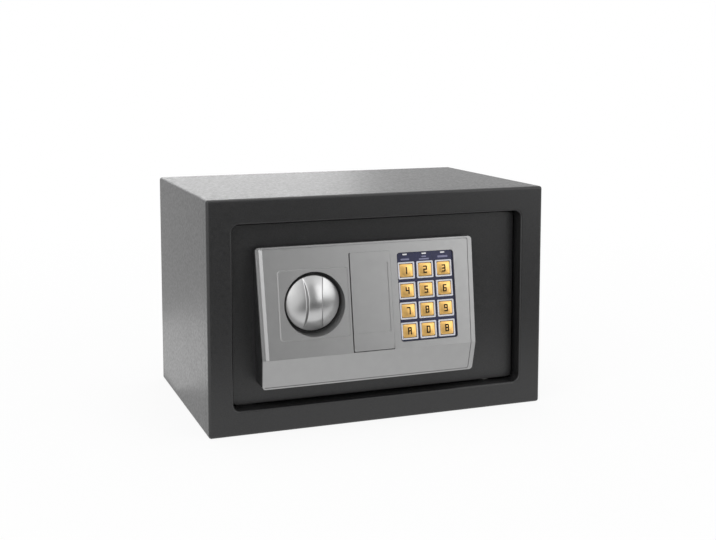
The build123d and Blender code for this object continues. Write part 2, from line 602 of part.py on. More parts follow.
def panel_behind(outer_w):
    """Everything from the door's front to a layer of the panel's front."""
    inner_w = -(PANEL_KINK_OUT + CABINET_DEPTH)
    wedge = panel_band(outer_w, inner_w)
    return wedge & block(-CABINET_WIDTH, CABINET_WIDTH, PANEL_CLEAR_Y, DOOR_FRONT_Y, 0, CABINET_HEIGHT)


def keypad_window(w0, w1, grow=0.0):
    return slab(WINDOW_LEFT - grow, WINDOW_RIGHT + grow, slope_v(WINDOW_BOTTOM_Z) - grow,
                slope_v(WINDOW_TOP_Z) + grow, w0, w1, WINDOW_CORNER)


def rim_groove():
    """Thin groove inside the face plate's rim; the chin's left side has none."""
    groove = panel_outline(PLATE_LIP, PLATE_LIP_RIGHT)
    groove -= panel_outline(PLATE_LIP + PLATE_GROOVE, PLATE_LIP_RIGHT + PLATE_GROOVE)
    groove = groove & panel_band(2 * PLATE_FIELD, PLATE_GROOVE_FLOOR)
    chin_left = block(-CABINET_WIDTH, PANEL_LEFT_BOTTOM + PLATE_LIP_RIGHT, -CABINET_DEPTH, CABINET_DEPTH,
                      PANEL_BOTTOM_Z + PLATE_LIP + PLATE_GROOVE, PANEL_KINK_Z)
    return groove - chin_left


def left_groove():
    """Groove up the left of the sloping face, with a ramp on its inner side."""
    length = slope_v(PANEL_TOP_Z) - PLATE_LIP
    lean = atan2(PANEL_LEFT_KINK - PANEL_LEFT_TOP, slope_v(PANEL_TOP_Z))
    foot, top = PLATE_LIP + LEFT_GROOVE, PLATE_LIP + LEFT_GROOVE + LEFT_RAMP
    section = Polyline((PLATE_LIP, LEFT_GROOVE_FLOOR), (foot, LEFT_GROOVE_FLOOR), (top, PLATE_FIELD),
                       (top, 2 * PLATE_FIELD), (PLATE_LIP, 2 * PLATE_FIELD), close=True)
    prism = extrude(make_face(Plane.XZ * section), amount=-length)
    return on_face(Pos(PANEL_LEFT_KINK, 0, 0) * Rot(0, 0, degrees(lean)) * prism)


def make_face_plate():
    plate = panel_band(PLATE_FIELD, -PLATE_THICKNESS) & panel_outline(0)
    plate -= rim_groove()
    plate -= left_groove()
    plate += rod_y(KNOB_X, KNOB_Z, RECESS_D + 2 * SLEEVE_WALL, PANEL_CLEAR_Y,
                   RECESS_FLOOR_Y - SLEEVE_GAP) & panel_behind(0)
    plate += slab(PAD_LEFT, PAD_RIGHT, slope_v(PAD_BOTTOM_Z), slope_v(PAD_TOP_Z),
                  PLATE_FIELD, PLATE_FIELD + PAD_HEIGHT, PAD_CORNER, PAD_DRAFT)
    plate -= rod_y(KNOB_X, KNOB_Z, RECESS_D, PANEL_CLEAR_Y, DOOR_FRONT_Y)
    plate -= keypad_window(-CABINET_DEPTH, CABINET_DEPTH)
    plate -= slab(COVER_LEFT - COVER_GAP_LEFT, COVER_RIGHT + COVER_SNUG, COVER_BOTTOM_V - COVER_GAP_BOTTOM,
                  COVER_TOP_V + COVER_SNUG, -CABINET_DEPTH, CABINET_DEPTH, 1.0)
    save("face_plate", plate)


def key_places():
    """Each key's name and its centre on the sloping face."""
    for row, names in enumerate(KEY_NAMES):
        v = slope_v(KEY_FIRST_Z - row * KEY_PITCH_Z)
        for column, name in enumerate(names):
            yield name, KEY_FIRST_X + column * KEY_PITCH_X, v


def key_hole(u, v, w0, w1, grow=0.0):
    """Square prism the size of a key's hole in its frame and the deck."""
    half_u = KEY_FRAME_WIDTH / 2 - KEY_FRAME_BAR + grow
    half_v = KEY_FRAME_HEIGHT / 2 - KEY_FRAME_BAR + grow
    return slab(u - half_u, u + half_u, v - half_v, v + half_v, w0, w1)


def led_prism(x, w0, w1, grow=0.0):
    v = slope_v(LED_Z)
    return slab(x - LED_WIDTH / 2 - grow, x + LED_WIDTH / 2 + grow, v - LED_HEIGHT / 2 - grow,
                v + LED_HEIGHT / 2 + grow, w0, w1)


def make_panel_base():
    base = panel_behind(DECK_TOP_W) & panel_outline(BASE_INSET)
    hollow = panel_behind(DECK_UNDER_W) & panel_outline(BASE_INSET + BASE_WALL)
    solid = base
    base = base - hollow
    lined_d = RECESS_D + 2 * (SLEEVE_WALL + SLEEVE_GAP)
    cup = rod_y(KNOB_X, KNOB_Z, lined_d + 2 * RECESS_WALL, PANEL_CLEAR_Y, RECESS_FLOOR_Y + RECESS_WALL)
    shroud = rod_y(LOCK_X, LOCK_Z, LOCK_SHROUD_D + 2 * RECESS_WALL, PANEL_CLEAR_Y, DOOR_FRONT_Y)
    base += (cup + shroud) & solid
    for x, z in panel_screw_places():
        boss = rod_y(x, z, BOSS_D, PANEL_CLEAR_Y, DOOR_FRONT_Y) & solid
        base += boss
        base -= rod_y(x, z, PANEL_SCREW_D, DOOR_FRONT_Y - 2 * PANEL_SCREW_D, DOOR_FRONT_Y)
    base -= rod_y(KNOB_X, KNOB_Z, lined_d, PANEL_CLEAR_Y, RECESS_FLOOR_Y)
    base -= rod_y(KNOB_X, KNOB_Z, SPINDLE_COLLAR_D + 2 * SLIDING, PANEL_CLEAR_Y, DOOR_FRONT_Y)
    base -= rod_y(LOCK_X, LOCK_Z, LOCK_SHROUD_D, PANEL_CLEAR_Y, LOCK_FACE_Y + LOCK_HEAD)
    base -= rod_y(LOCK_X, LOCK_Z, LOCK_BODY_D + 2 * LOCK_HOLE_CLEARANCE, PANEL_CLEAR_Y, DOOR_FRONT_Y)
    for _, u, v in key_places():
        base -= key_hole(u, v, DECK_UNDER_W - 1, DECK_TOP_W + 1)
    for x in LED_X:
        base -= led_prism(x, DECK_UNDER_W - 1, DECK_TOP_W + 1, WINDOW_CLEARANCE)
    for clip in cover_clips(WINDOW_CLEARANCE):
        base -= clip
    save("panel_base", base)


def cover_clips(grow):
    """The lock cover's two snap legs, or their slots in the deck when grown."""
    half = COVER_CLIP_WIDTH / 2 + grow
    middle = (COVER_LEFT + COVER_RIGHT) / 2
    legs = []
    for v in (COVER_BOTTOM_V + COVER_CLIP, COVER_TOP_V - COVER_CLIP):
        legs.append(slab(middle - half, middle + half, v - SHEET / 2 - grow, v + SHEET / 2 + grow,
                         DECK_UNDER_W - 1, DECK_TOP_W + grow))
    return legs


def make_lock_cover():
    cover = slab(COVER_LEFT, COVER_RIGHT, COVER_BOTTOM_V, COVER_TOP_V, DECK_TOP_W, PLATE_FIELD, 1.0)
    cover -= slab(COVER_INSET_LEFT, COVER_INSET_RIGHT, slope_v(COVER_INSET_BOTTOM_Z),
                  slope_v(COVER_INSET_TOP_Z), PLATE_FIELD - COVER_INSET_DEPTH, PLATE_FIELD + 1, 1.0)
    cover -= slab(COVER_LEFT - 1, COVER_RIGHT + 1, COVER_BOTTOM_V - 1, COVER_BOTTOM_V + COVER_STRIP,
                  PLATE_FIELD - COVER_STRIP_DEPTH, PLATE_FIELD + 1)
    for leg in cover_clips(0):
        cover += leg
    save("lock_cover", cover)


# ---------------------------------------------------------------- keypad pieces
def make_keypad():
    grow = -WINDOW_CLEARANCE
    label = keypad_window(DECK_TOP_W, LABEL_TOP_W, grow)
    frames = []
    for name, u, v in key_places():
        label -= key_hole(u, v, DECK_TOP_W - 1, LABEL_TOP_W + 1)
        ring = slab(u - KEY_FRAME_WIDTH / 2, u + KEY_FRAME_WIDTH / 2, v - KEY_FRAME_HEIGHT / 2,
                    v + KEY_FRAME_HEIGHT / 2, LABEL_TOP_W, LABEL_TOP_W + KEY_FRAME_RISE, 1.0)
        frames.append(ring - key_hole(u, v, LABEL_TOP_W - 1, LABEL_TOP_W + 2 * KEY_FRAME_RISE))
        cap = key_hole(u, v, KEY_UNDER_W, LABEL_TOP_W + KEY_CAP_RISE, -KEY_CLEARANCE)
        cap = chamfer(cap.faces().sort_by(FACE_OUT)[-1].edges(), KEY_CAP_EDGE)
        cap += key_hole(u, v, KEY_UNDER_W, KEY_UNDER_W + KEY_FLANGE_THICKNESS, KEY_FLANGE)
        save(f"key_{name}", cap)
    for x in LED_X:
        label -= led_prism(x, DECK_TOP_W - 1, LABEL_TOP_W + 1, WINDOW_CLEARANCE)
    save("keypad_label", label)
    save("key_frames", *frames)
    save("indicator_leds", *[led_prism(x, BOARD_FRONT_W, LABEL_TOP_W + LED_RISE) for x in LED_X])


def board_back_y(z):
    """Back of the keypad board at height z."""
    v = (z - PANEL_KINK_Z - BOARD_BACK_W * sin(FACE_TILT)) / cos(FACE_TILT)
    return KINK_Y + v * sin(FACE_TILT) - BOARD_BACK_W * cos(FACE_TILT)


def make_keypad_board():
    left = WINDOW_LEFT - BOARD_MARGIN
    right = WINDOW_RIGHT + BOARD_MARGIN
    board = slab(left, right, slope_v(WINDOW_BOTTOM_Z) - BOARD_MARGIN, BOARD_TOP_V,
                 BOARD_BACK_W, BOARD_FRONT_W, 1.0)
    back_y = board_back_y(GROMMET_Z)
    board += block(GROMMET_X - PLUG_WIDTH / 2, GROMMET_X + PLUG_WIDTH / 2, back_y - BOARD_THICKNESS / 2,
                   back_y + PLUG_DEPTH, GROMMET_Z - PLUG_HEIGHT / 2, GROMMET_Z + PLUG_HEIGHT / 2)
    save("keypad_board", board)
    switches = []
    for _, u, v in key_places():
        half = SWITCH_SIZE / 2
        body = slab(u - half, u + half, v - half, v + half, BOARD_FRONT_W, BOARD_FRONT_W + SWITCH_BODY)
        tip = Pos(u, v, BOARD_FRONT_W + SWITCH_BODY + SWITCH_ACTUATOR / 2) * \
            Cylinder(SWITCH_ACTUATOR_D / 2, SWITCH_ACTUATOR)
        switches.append(body + on_face(tip))
    save("key_switches", *switches)


# ---------------------------------------------------------------- knob
def dome_arc(radius, rise):
    """Half of a dome's section, from its rim to its top."""
    ball = (radius ** 2 + rise ** 2) / (2 * rise)
    middle_r = radius * 0.7
    middle = (middle_r, rise - ball + (ball ** 2 - middle_r ** 2) ** 0.5)
    return ThreePointArc((radius, 0), middle, (0, rise))


def turned(profile, arc):
    """Solid turned about the knob's axis from an outline and the arc that closes it."""
    return revolve(make_face(Plane.XZ * (profile + arc)), axis=Axis.Z)


def grip_bar(bore_end):
    """Bar across the knob: its top is an arc that runs down into the dome at both ends."""
    reach = KNOB_D / 2 - GRIP_END_INSET
    profile = Polyline((0, GRIP_RISE), (0, bore_end), (SPINDLE_D / 2, bore_end), (SPINDLE_D / 2, 0),
                       (reach, 0))
    top, foot = GRIP_WIDTH / 2, GRIP_WIDTH / 2 + GRIP_RISE * tan(radians(GRIP_DRAFT))
    wedge = Polyline((-foot, 0), (foot, 0), (top, GRIP_RISE), (-top, GRIP_RISE), close=True)
    return turned(profile, dome_arc(reach, GRIP_RISE)) & extrude(make_face(Plane.XZ * wedge),
                                                                 amount=KNOB_D, both=True)


def make_knob():
    place = Plane(origin=(KNOB_X, RIM_Y, KNOB_Z), x_dir=(1, 0, 0), z_dir=(0, -1, 0))
    radius = KNOB_D / 2
    cavity_top = -KNOB_SKIRT / 4
    grip_end = SPINDLE_GRIP - KNOB_SKIRT
    profile = Polyline((0, KNOB_DOME), (0, grip_end), (SPINDLE_D / 2, grip_end),
                       (SPINDLE_D / 2, -KNOB_SKIRT), (KNOB_BOSS_D / 2, -KNOB_SKIRT),
                       (KNOB_BOSS_D / 2, cavity_top), (radius - KNOB_WALL, cavity_top),
                       (radius - KNOB_WALL, -KNOB_SKIRT), (radius, -KNOB_SKIRT), (radius, 0))
    knob = turned(profile, dome_arc(radius, KNOB_DOME)) + grip_bar(grip_end)
    save("knob", place.location * knob)

    grip_end = KNOB_BACK_Y - SPINDLE_GRIP
    collar_y = DOOR_FRONT_Y - BUSH_FLANGE - SEAT_GAP
    spindle = rod_y(KNOB_X, KNOB_Z, SPINDLE_D, grip_end, DISC_BACK_Y)
    spindle += rod_y(KNOB_X, KNOB_Z, SPINDLE_COLLAR_D, collar_y - SPINDLE_COLLAR, collar_y)
    save("knob_spindle", spindle)

    bush = rod_y(KNOB_X, KNOB_Z, BUSH_D, DOOR_FRONT_Y, DOOR_BACK_Y)
    bush += rod_y(KNOB_X, KNOB_Z, BUSH_FLANGE_D, DOOR_FRONT_Y - BUSH_FLANGE, DOOR_FRONT_Y)
    bush -= rod_y(KNOB_X, KNOB_Z, SPINDLE_D + 2 * RUNNING, DOOR_FRONT_Y - 2 * BUSH_FLANGE, DOOR_BACK_Y + 1)
    save("knob_bush", bush)

    disc = rod_y(KNOB_X, KNOB_Z, DISC_D, DISC_FRONT_Y, DISC_BACK_Y)
    disc = chamfer(disc.edges(), DISC_THICKNESS / 8)
    disc -= rod_y(KNOB_X, KNOB_Z, SPINDLE_D, DISC_FRONT_Y - 1, DISC_BACK_Y + 1)
    crank_x, crank_z = crank_place()
    disc += rod_y(crank_x, crank_z, CRANK_PIN_D, DISC_BACK_Y, CARRIAGE_BACK_Y + SHEET)
    save("drive_disc", disc)


def crank_place():
    """Crank pin with the bolts withdrawn: above the knob's axis, half the turn to the right."""
    half_turn = radians(KNOB_TURN / 2)
    return KNOB_X + CRANK_RADIUS * sin(half_turn), KNOB_Z + CRANK_RADIUS * cos(half_turn)


# ---------------------------------------------------------------- bolt work
def make_bolt_work():
    y0, y1 = CARRIAGE_FRONT_Y, CARRIAGE_BACK_Y
    flange_back = y0 + FLANGE_DEPTH
    carriage = block(CARRIAGE_LEFT, CARRIAGE_RIGHT, y0, y1, CARRIAGE_BOTTOM_Z, CARRIAGE_TOP_Z)
    carriage += block(CARRIAGE_RIGHT, ARM_RIGHT, y0, y1, ARM_BOTTOM_Z, ARM_TOP_Z)
    carriage += block(ARM_FLANGE_LEFT, ARM_RIGHT, y0, PLUNGER_Y + PLUNGER_HOLE_D,
                      ARM_TOP_Z - CARRIAGE_THICKNESS, ARM_TOP_Z)
    carriage += block(CARRIAGE_LEFT, CARRIAGE_LEFT + CARRIAGE_THICKNESS, y0, flange_back,
                      CARRIAGE_BOTTOM_Z, CARRIAGE_TOP_Z)
    crank_x, crank_z = crank_place()
    half = CRANK_PIN_D / 2 + CRANK_PLAY
    crank_top = KNOB_Z + CRANK_RADIUS + half
    carriage -= block(crank_x - half, crank_x + half, y0 - 1, y1 + 1, crank_z - half, crank_top)
    for z in STUD_Z:
        end = STUD_D / 2 + SLIDING
        carriage -= long_hole(STUD_X - end, STUD_X + BOLT_THROW + end, z, 2 * end, y0 - 1, y1 + 1)
    carriage -= rod_z(SOLENOID_X + BOLT_THROW, PLUNGER_Y, PLUNGER_HOLE_D,
                      ARM_TOP_Z - 2 * CARRIAGE_THICKNESS, ARM_TOP_Z + 1)
    bolts = []
    for z in BOLT_Z:
        carriage -= rod_x(BOLT_Y, z, BOLT_TENON_D, CARRIAGE_LEFT - 1, CARRIAGE_LEFT + 2 * CARRIAGE_THICKNESS)
        bolt = rod_x(BOLT_Y, z, BOLT_D, BOLT_TIP, CARRIAGE_LEFT)
        bolt = chamfer(bolt.edges().group_by(Axis.X)[0], BOLT_D / 12)
        rivet = CARRIAGE_LEFT + CARRIAGE_THICKNESS
        bolt += rod_x(BOLT_Y, z, BOLT_TENON_D, CARRIAGE_LEFT, rivet)
        bolt += rod_x(BOLT_Y, z, BOLT_HEAD_D, rivet, rivet + BOLT_HEAD)
        bolts.append(bolt)
    save("bolt_carriage", carriage)
    save("locking_bolts", *bolts)

    guide = block(GUIDE_X, GUIDE_X + GUIDE_THICKNESS, DOOR_BACK_Y, BOLT_Y + BOLT_D / 2 + GUIDE_THICKNESS,
                  GUIDE_BOTTOM_Z, GUIDE_TOP_Z)
    guide += block(GUIDE_X, GUIDE_X + GUIDE_FOOT, DOOR_BACK_Y, DOOR_BACK_Y + GUIDE_FOOT_THICKNESS,
                   GUIDE_BOTTOM_Z, GUIDE_TOP_Z)
    for z in BOLT_Z:
        guide -= rod_x(BOLT_Y, z, BOLT_D + 2 * GUIDE_BORE_CLEARANCE, GUIDE_X - 1,
                       GUIDE_X + 2 * GUIDE_THICKNESS)
    save("bolt_guide", guide)

    clip_y = CARRIAGE_BACK_Y + SEAT_GAP
    studs, clips = [], []
    for z in STUD_Z:
        stud = rod_y(STUD_X, z, STUD_D, DOOR_BACK_Y, clip_y + 2 * CLIP_THICKNESS)
        stud += rod_y(STUD_X, z, STUD_SHOULDER_D, DOOR_BACK_Y, CARRIAGE_FRONT_Y - SEAT_GAP)
        studs.append(stud)
        ring = rod_y(STUD_X, z, CLIP_D, clip_y, clip_y + CLIP_THICKNESS)
        clips.append(ring - rod_y(STUD_X, z, STUD_D, clip_y - 1, clip_y + 2 * CLIP_THICKNESS))
    save("carriage_studs", *studs)
    save("stud_clips", *clips)


# ---------------------------------------------------------------- solenoid
def make_solenoid():
    half = SOLENOID_WIDTH / 2
    y1 = PLUNGER_Y + COIL_D / 2
    web = block(SOLENOID_X - half, SOLENOID_X + half + EAR_WIDTH, DOOR_BACK_Y, DOOR_BACK_Y + SOLENOID_SHEET,
                SOLENOID_BOTTOM_Z, SOLENOID_TOP_Z)
    lower = block(SOLENOID_X - half, SOLENOID_X + half, DOOR_BACK_Y, y1,
                  SOLENOID_BOTTOM_Z, SOLENOID_BOTTOM_Z + SOLENOID_SHEET)
    upper = block(SOLENOID_X - half, SOLENOID_X + half, DOOR_BACK_Y, y1,
                  SOLENOID_TOP_Z - SOLENOID_SHEET, SOLENOID_TOP_Z)
    bore = PLUNGER_D + 2 * SLIDING
    frame = web + lower + upper
    frame -= rod_z(SOLENOID_X, PLUNGER_Y, bore, SOLENOID_BOTTOM_Z - 1, SOLENOID_BOTTOM_Z + 2 * SOLENOID_SHEET)
    for x, z in ear_screw_places():
        frame -= rod_y(x, z, SMALL_SCREW_D, DOOR_BACK_Y - 1, DOOR_BACK_Y + 2 * SOLENOID_SHEET)
    save("solenoid_frame", frame)

    coil_low = SOLENOID_BOTTOM_Z + SOLENOID_SHEET
    coil_high = SOLENOID_TOP_Z - SOLENOID_SHEET
    coil = rod_z(SOLENOID_X, PLUNGER_Y, COIL_D, coil_low, coil_high)
    coil -= rod_z(SOLENOID_X, PLUNGER_Y, bore, coil_low - 1, coil_high + 1)
    save("solenoid_coil", coil)

    plunger = rod_z(SOLENOID_X, PLUNGER_Y, PLUNGER_D, PLUNGER_TIP_Z, PLUNGER_TIP_Z + PLUNGER_LENGTH)
    plunger = chamfer(plunger.edges().group_by(Axis.Z)[0], PLUNGER_D / 14)
    plunger += rod_z(SOLENOID_X, PLUNGER_Y, PLUNGER_COLLAR_D, COLLAR_LOW_Z, COLLAR_HIGH_Z)
    save("solenoid_plunger", plunger)

    ring_radius = (PLUNGER_D + PLUNGER_COLLAR_D) / 4
    room = SOLENOID_BOTTOM_Z - COLLAR_HIGH_Z - SPRING_WIRE
    pitch = room / SPRING_TURNS
    path = Helix(pitch=pitch, height=room, radius=ring_radius)
    section = Plane(origin=path @ 0, z_dir=path % 0) * Circle(SPRING_WIRE / 2)
    coil_spring = sweep(section, path=path)
    save("plunger_spring", Pos(SOLENOID_X, PLUNGER_Y, COLLAR_HIGH_Z + SPRING_WIRE / 2) * coil_spring)

    seat = DOOR_BACK_Y + SOLENOID_SHEET
    length = SOLENOID_SHEET + BLIND_DEPTH
    save("solenoid_screws", *[screw_y(x, z, seat, SMALL_SCREW_D, length, SMALL_HEAD_D, SMALL_HEAD)
                              for x, z in ear_screw_places()])


# ---------------------------------------------------------------- override lock
def make_override_lock():
    bore = LOCK_PLUG_D + 2 * RUNNING
    head_back = LOCK_FACE_Y + LOCK_HEAD
    body = rod_y(LOCK_X, LOCK_Z, LOCK_HEAD_D, LOCK_FACE_Y, head_back)
    body = chamfer(body.edges().group_by(Axis.Y)[0], LOCK_HEAD / 4)
    body += rod_y(LOCK_X, LOCK_Z, LOCK_BODY_D, head_back, LOCK_END_Y)
    body -= rod_y(LOCK_X, LOCK_Z, bore, LOCK_FACE_Y - 1, LOCK_END_Y + 1)
    save("lock_body", body)

    nut = extrude(Plane(origin=(LOCK_X, DOOR_BACK_Y + LOCK_NUT, LOCK_Z), x_dir=(1, 0, 0), z_dir=(0, -1, 0))
                  * RegularPolygon(LOCK_NUT_D / 2, 6), amount=LOCK_NUT)
    nut -= rod_y(LOCK_X, LOCK_Z, LOCK_BODY_D, DOOR_BACK_Y - 1, DOOR_BACK_Y + 2 * LOCK_NUT)
    save("lock_nut", nut)

    cam_y = LOCK_END_Y + SEAT_GAP
    plug = rod_y(LOCK_X, LOCK_Z, LOCK_PLUG_D, LOCK_FACE_Y, cam_y)
    plug -= block(LOCK_X - KEYWAY_WIDTH / 2, LOCK_X + KEYWAY_WIDTH / 2, LOCK_FACE_Y - 1,
                  LOCK_FACE_Y + KEYWAY_DEPTH, LOCK_Z - KEYWAY_HEIGHT / 2, LOCK_Z + KEYWAY_HEIGHT / 2)
    tail = LOCK_TAIL + CAM_THICKNESS
    half = CAM_WIDTH / 4
    plug += block(LOCK_X - half, LOCK_X + half, cam_y, cam_y + tail - LOCK_TAIL / 2,
                  LOCK_Z - half, LOCK_Z + half)
    save("lock_plug", plug)

    cam = block(LOCK_X, LOCK_X + CAM_LENGTH, cam_y, cam_y + CAM_THICKNESS,
                LOCK_Z - CAM_WIDTH / 2, LOCK_Z + CAM_WIDTH / 2)
    cam += rod_y(LOCK_X, LOCK_Z, LOCK_PLUG_D, cam_y, cam_y + CAM_THICKNESS)
    cam -= block(LOCK_X - half, LOCK_X + half, cam_y - 1, cam_y + 2 * CAM_THICKNESS,
                 LOCK_Z - half, LOCK_Z + half)
    save("lock_cam", cam)


# ---------------------------------------------------------------- inner cover, batteries, reset
def tray_limits(wall):
    """X and Z limits of the battery tray's inside, grown by a wall."""
    half_x = TRAY_LENGTH / 2 + wall
    half_z = TRAY_INNER_HEIGHT / 2 + wall
    return TRAY_X - half_x, TRAY_X + half_x, TRAY_Z - half_z, TRAY_Z + half_z


def make_inner_cover():
    cover = block(INNER_LEFT, INNER_RIGHT, DOOR_BACK_Y, INNER_BACK_Y, INNER_BOTTOM_Z, INNER_TOP_Z)
    cover = fillet(cover.edges().filter_by(Axis.Y), 2 * INNER_SHEET)
    cover = fillet(cover.edges().group_by(Axis.Y)[-1], 1.5 * INNER_SHEET)
    cover += block(INNER_LEFT, INNER_RIGHT, DOOR_BACK_Y, DOOR_BACK_Y + INNER_SHEET,
                   INNER_BOTTOM_Z - INNER_FLANGE, INNER_TOP_Z + INNER_FLANGE)
    cover -= block(INNER_LEFT + INNER_SHEET, INNER_RIGHT - INNER_SHEET, DOOR_BACK_Y - 1,
                   INNER_BACK_Y - INNER_SHEET, INNER_BOTTOM_Z + INNER_SHEET, INNER_TOP_Z - INNER_SHEET)
    for z in BOLT_Z:
        cover -= rod_x(BOLT_Y, z, BOLT_D + 4 * SLIDING, INNER_LEFT - 1, INNER_LEFT + 2 * INNER_SHEET)
    x0, x1, z0, z1 = tray_limits(TRAY_WALL)
    cover -= block(x0, x1, INNER_BACK_Y - 2 * INNER_SHEET, INNER_BACK_Y + 1, z0, z1)
    cover -= rod_y(RESET_X, RESET_Z, RESET_D + 2 * SLIDING, INNER_BACK_Y - 2 * INNER_SHEET, INNER_BACK_Y + 1)
    for x, z in inner_screw_places():
        cover -= rod_y(x, z, INNER_SCREW_D, DOOR_BACK_Y - 1, DOOR_BACK_Y + 2 * INNER_SHEET)
    save("inner_cover", cover)
    seat = DOOR_BACK_Y + INNER_SHEET
    length = INNER_SHEET + BLIND_DEPTH
    save("inner_cover_screws", *[screw_y(x, z, seat, INNER_SCREW_D, length, INNER_HEAD_D, INNER_HEAD)
                                 for x, z in inner_screw_places()])
    reach = DOOR_THICKNESS + PANEL_SCREW_D
    save("panel_screws", *[screw_y(x, z, DOOR_BACK_Y, PANEL_SCREW_D, reach, INNER_HEAD_D, SMALL_HEAD)
                           for x, z in panel_screw_places()])


def make_batteries():
    x0, x1, z0, z1 = tray_limits(0)
    ox0, ox1, oz0, oz1 = tray_limits(TRAY_WALL)
    tray = block(ox0, ox1, TRAY_FLOOR_Y, INNER_BACK_Y, oz0, oz1)
    tray -= block(x0, x1, TRAY_FLOOR_Y + TRAY_WALL, INNER_BACK_Y + 1, z0, z1)
    rim = block(ox0 - LID_OVERLAP, ox1 + LID_OVERLAP, INNER_BACK_Y - INNER_SHEET - TRAY_WALL,
                INNER_BACK_Y - INNER_SHEET, oz0 - LID_OVERLAP, oz1 + LID_OVERLAP)
    rim -= block(x0, x1, TRAY_FLOOR_Y, INNER_BACK_Y, z0, z1)
    save("battery_tray", tray + rim)

    cells, contacts = [], []
    cell_y = TRAY_FLOOR_Y + TRAY_WALL + CELL_D / 2
    for index in range(CELL_COUNT):
        z = TRAY_Z + (index - (CELL_COUNT - 1) / 2) * CELL_PITCH
        flip = 1 if index % 2 else -1
        near = TRAY_X - flip * CELL_LENGTH / 2
        far = TRAY_X + flip * (CELL_LENGTH / 2 - CELL_TIP)
        cell = rod_x(cell_y, z, CELL_D, near, far)
        cells.append(cell + rod_x(cell_y, z, CELL_TIP_D, far, far + flip * CELL_TIP))
        for side in (-1, 1):
            wall = TRAY_X + side * TRAY_LENGTH / 2
            plate = block(wall, wall - side * CONTACT_THICKNESS, cell_y - CONTACT_WIDTH / 2,
                          cell_y + CONTACT_WIDTH / 2, z - CONTACT_WIDTH / 2, z + CONTACT_WIDTH / 2)
            tip = wall - side * TRAY_END
            plate += rod_x(cell_y, z, CELL_TIP_D / 2, wall - side * CONTACT_THICKNESS, tip)
            contacts.append(plate)
    save("batteries", *cells)
    save("battery_contacts", *contacts)

    lx0, lx1, lz0, lz1 = ox0 - LID_OVERLAP, ox1 + LID_OVERLAP, oz0 - LID_OVERLAP, oz1 + LID_OVERLAP
    lid_y = INNER_BACK_Y + SEAT_GAP
    lid = block(lx0, lx1, lid_y, lid_y + LID_THICKNESS, lz0, lz1)
    lid = fillet(lid.edges().filter_by(Axis.Y), LID_RAIL)
    for step in (-2, 0, 2):
        z = lz0 + LID_OVERLAP + 2 * LID_GRIP_RISE + LID_GRIP_RISE * (2 + step)
        lid += block(TRAY_X - LID_GRIP_WIDTH / 2, TRAY_X + LID_GRIP_WIDTH / 2, lid_y + LID_THICKNESS,
                     lid_y + LID_THICKNESS + LID_GRIP_RISE, z, z + LID_GRIP_RISE)
    save("battery_lid", lid)


def reset_switch_front():
    """Front face of the reset switch, where its lead ends."""
    flange_back = INNER_BACK_Y - INNER_SHEET - SEAT_GAP
    return flange_back - RESET_FLANGE - RESET_TRAVEL - SEAT_GAP - RESET_SWITCH_DEPTH


def make_reset():
    inside = INNER_BACK_Y - INNER_SHEET
    flange_y = inside - SEAT_GAP
    button = rod_y(RESET_X, RESET_Z, RESET_D, flange_y, INNER_BACK_Y + RESET_RISE)
    button = fillet(button.edges().group_by(Axis.Y)[-1], RESET_D / 8)
    button += rod_y(RESET_X, RESET_Z, RESET_FLANGE_D, flange_y - RESET_FLANGE, flange_y)
    save("reset_button", button)
    half = RESET_SWITCH / 2
    front = reset_switch_front()
    low_z, high_z = RESET_Z - half, RESET_Z + half
    switch = block(RESET_X - half, RESET_X + half, front, front + RESET_SWITCH_DEPTH, low_z, high_z)
    switch += block(RESET_X - RESET_SWITCH, RESET_X + RESET_SWITCH, front, front + RESET_SWITCH_DEPTH / 2,
                    low_z, high_z)
    for side in (-1, 1):
        leg = RESET_X + side * RESET_SWITCH
        switch += block(leg, leg - side * SHEET, front, inside, low_z, high_z)
    save("reset_switch", switch)


# ---------------------------------------------------------------- wiring
def lead(points):
    """Thin lead along straight runs joined by tangent arcs."""
    path = FilletPolyline(*points, radius=LEAD_BEND)
    section = Plane(origin=path @ 0, z_dir=path % 0) * Circle(LEAD_D / 2)
    return sweep(section, path=path)


def make_wiring():
    hole = rod_y(GROMMET_X, GROMMET_Z, GROMMET_HOLE_D, DOOR_FRONT_Y, DOOR_BACK_Y)
    lips = rod_y(GROMMET_X, GROMMET_Z, GROMMET_LIP_D, DOOR_FRONT_Y - GROMMET_LIP, DOOR_FRONT_Y)
    lips += rod_y(GROMMET_X, GROMMET_Z, GROMMET_LIP_D, DOOR_BACK_Y, DOOR_BACK_Y + GROMMET_LIP)
    grommet = hole + lips
    grommet -= rod_y(GROMMET_X, GROMMET_Z, GROMMET_BORE_D, DOOR_FRONT_Y - 2 * GROMMET_LIP,
                     DOOR_BACK_Y + 2 * GROMMET_LIP)
    save("cable_grommet", grommet)

    start_y = board_back_y(GROMMET_Z) + PLUG_DEPTH
    run_y = (DOOR_BACK_Y + TRAY_FLOOR_Y) / 2
    coil_x = SOLENOID_X + COIL_D / 2
    coil_z = (SOLENOID_BOTTOM_Z + SOLENOID_TOP_Z) / 2
    reset_y = reset_switch_front()
    left, right = GROMMET_X - LEAD_SPACING, GROMMET_X + LEAD_SPACING
    low = GROMMET_Z - LEAD_SPACING
    tray_z = GROMMET_Z + 2.5 * LEAD_BEND
    to_coil = lead([(left, start_y, GROMMET_Z), (left, run_y, GROMMET_Z),
                    (coil_x + 2 * LEAD_BEND, PLUNGER_Y, coil_z), (coil_x, PLUNGER_Y, coil_z)])
    to_tray = lead([(right, start_y, GROMMET_Z), (right, run_y, GROMMET_Z),
                    (TRAY_X, run_y, tray_z), (TRAY_X, TRAY_FLOOR_Y, tray_z)])
    to_reset = lead([(GROMMET_X, start_y, low), (GROMMET_X, run_y, low),
                     (RESET_X, run_y, RESET_Z), (RESET_X, reset_y, RESET_Z)])
    save("wiring_loom", to_coil, to_tray, to_reset)


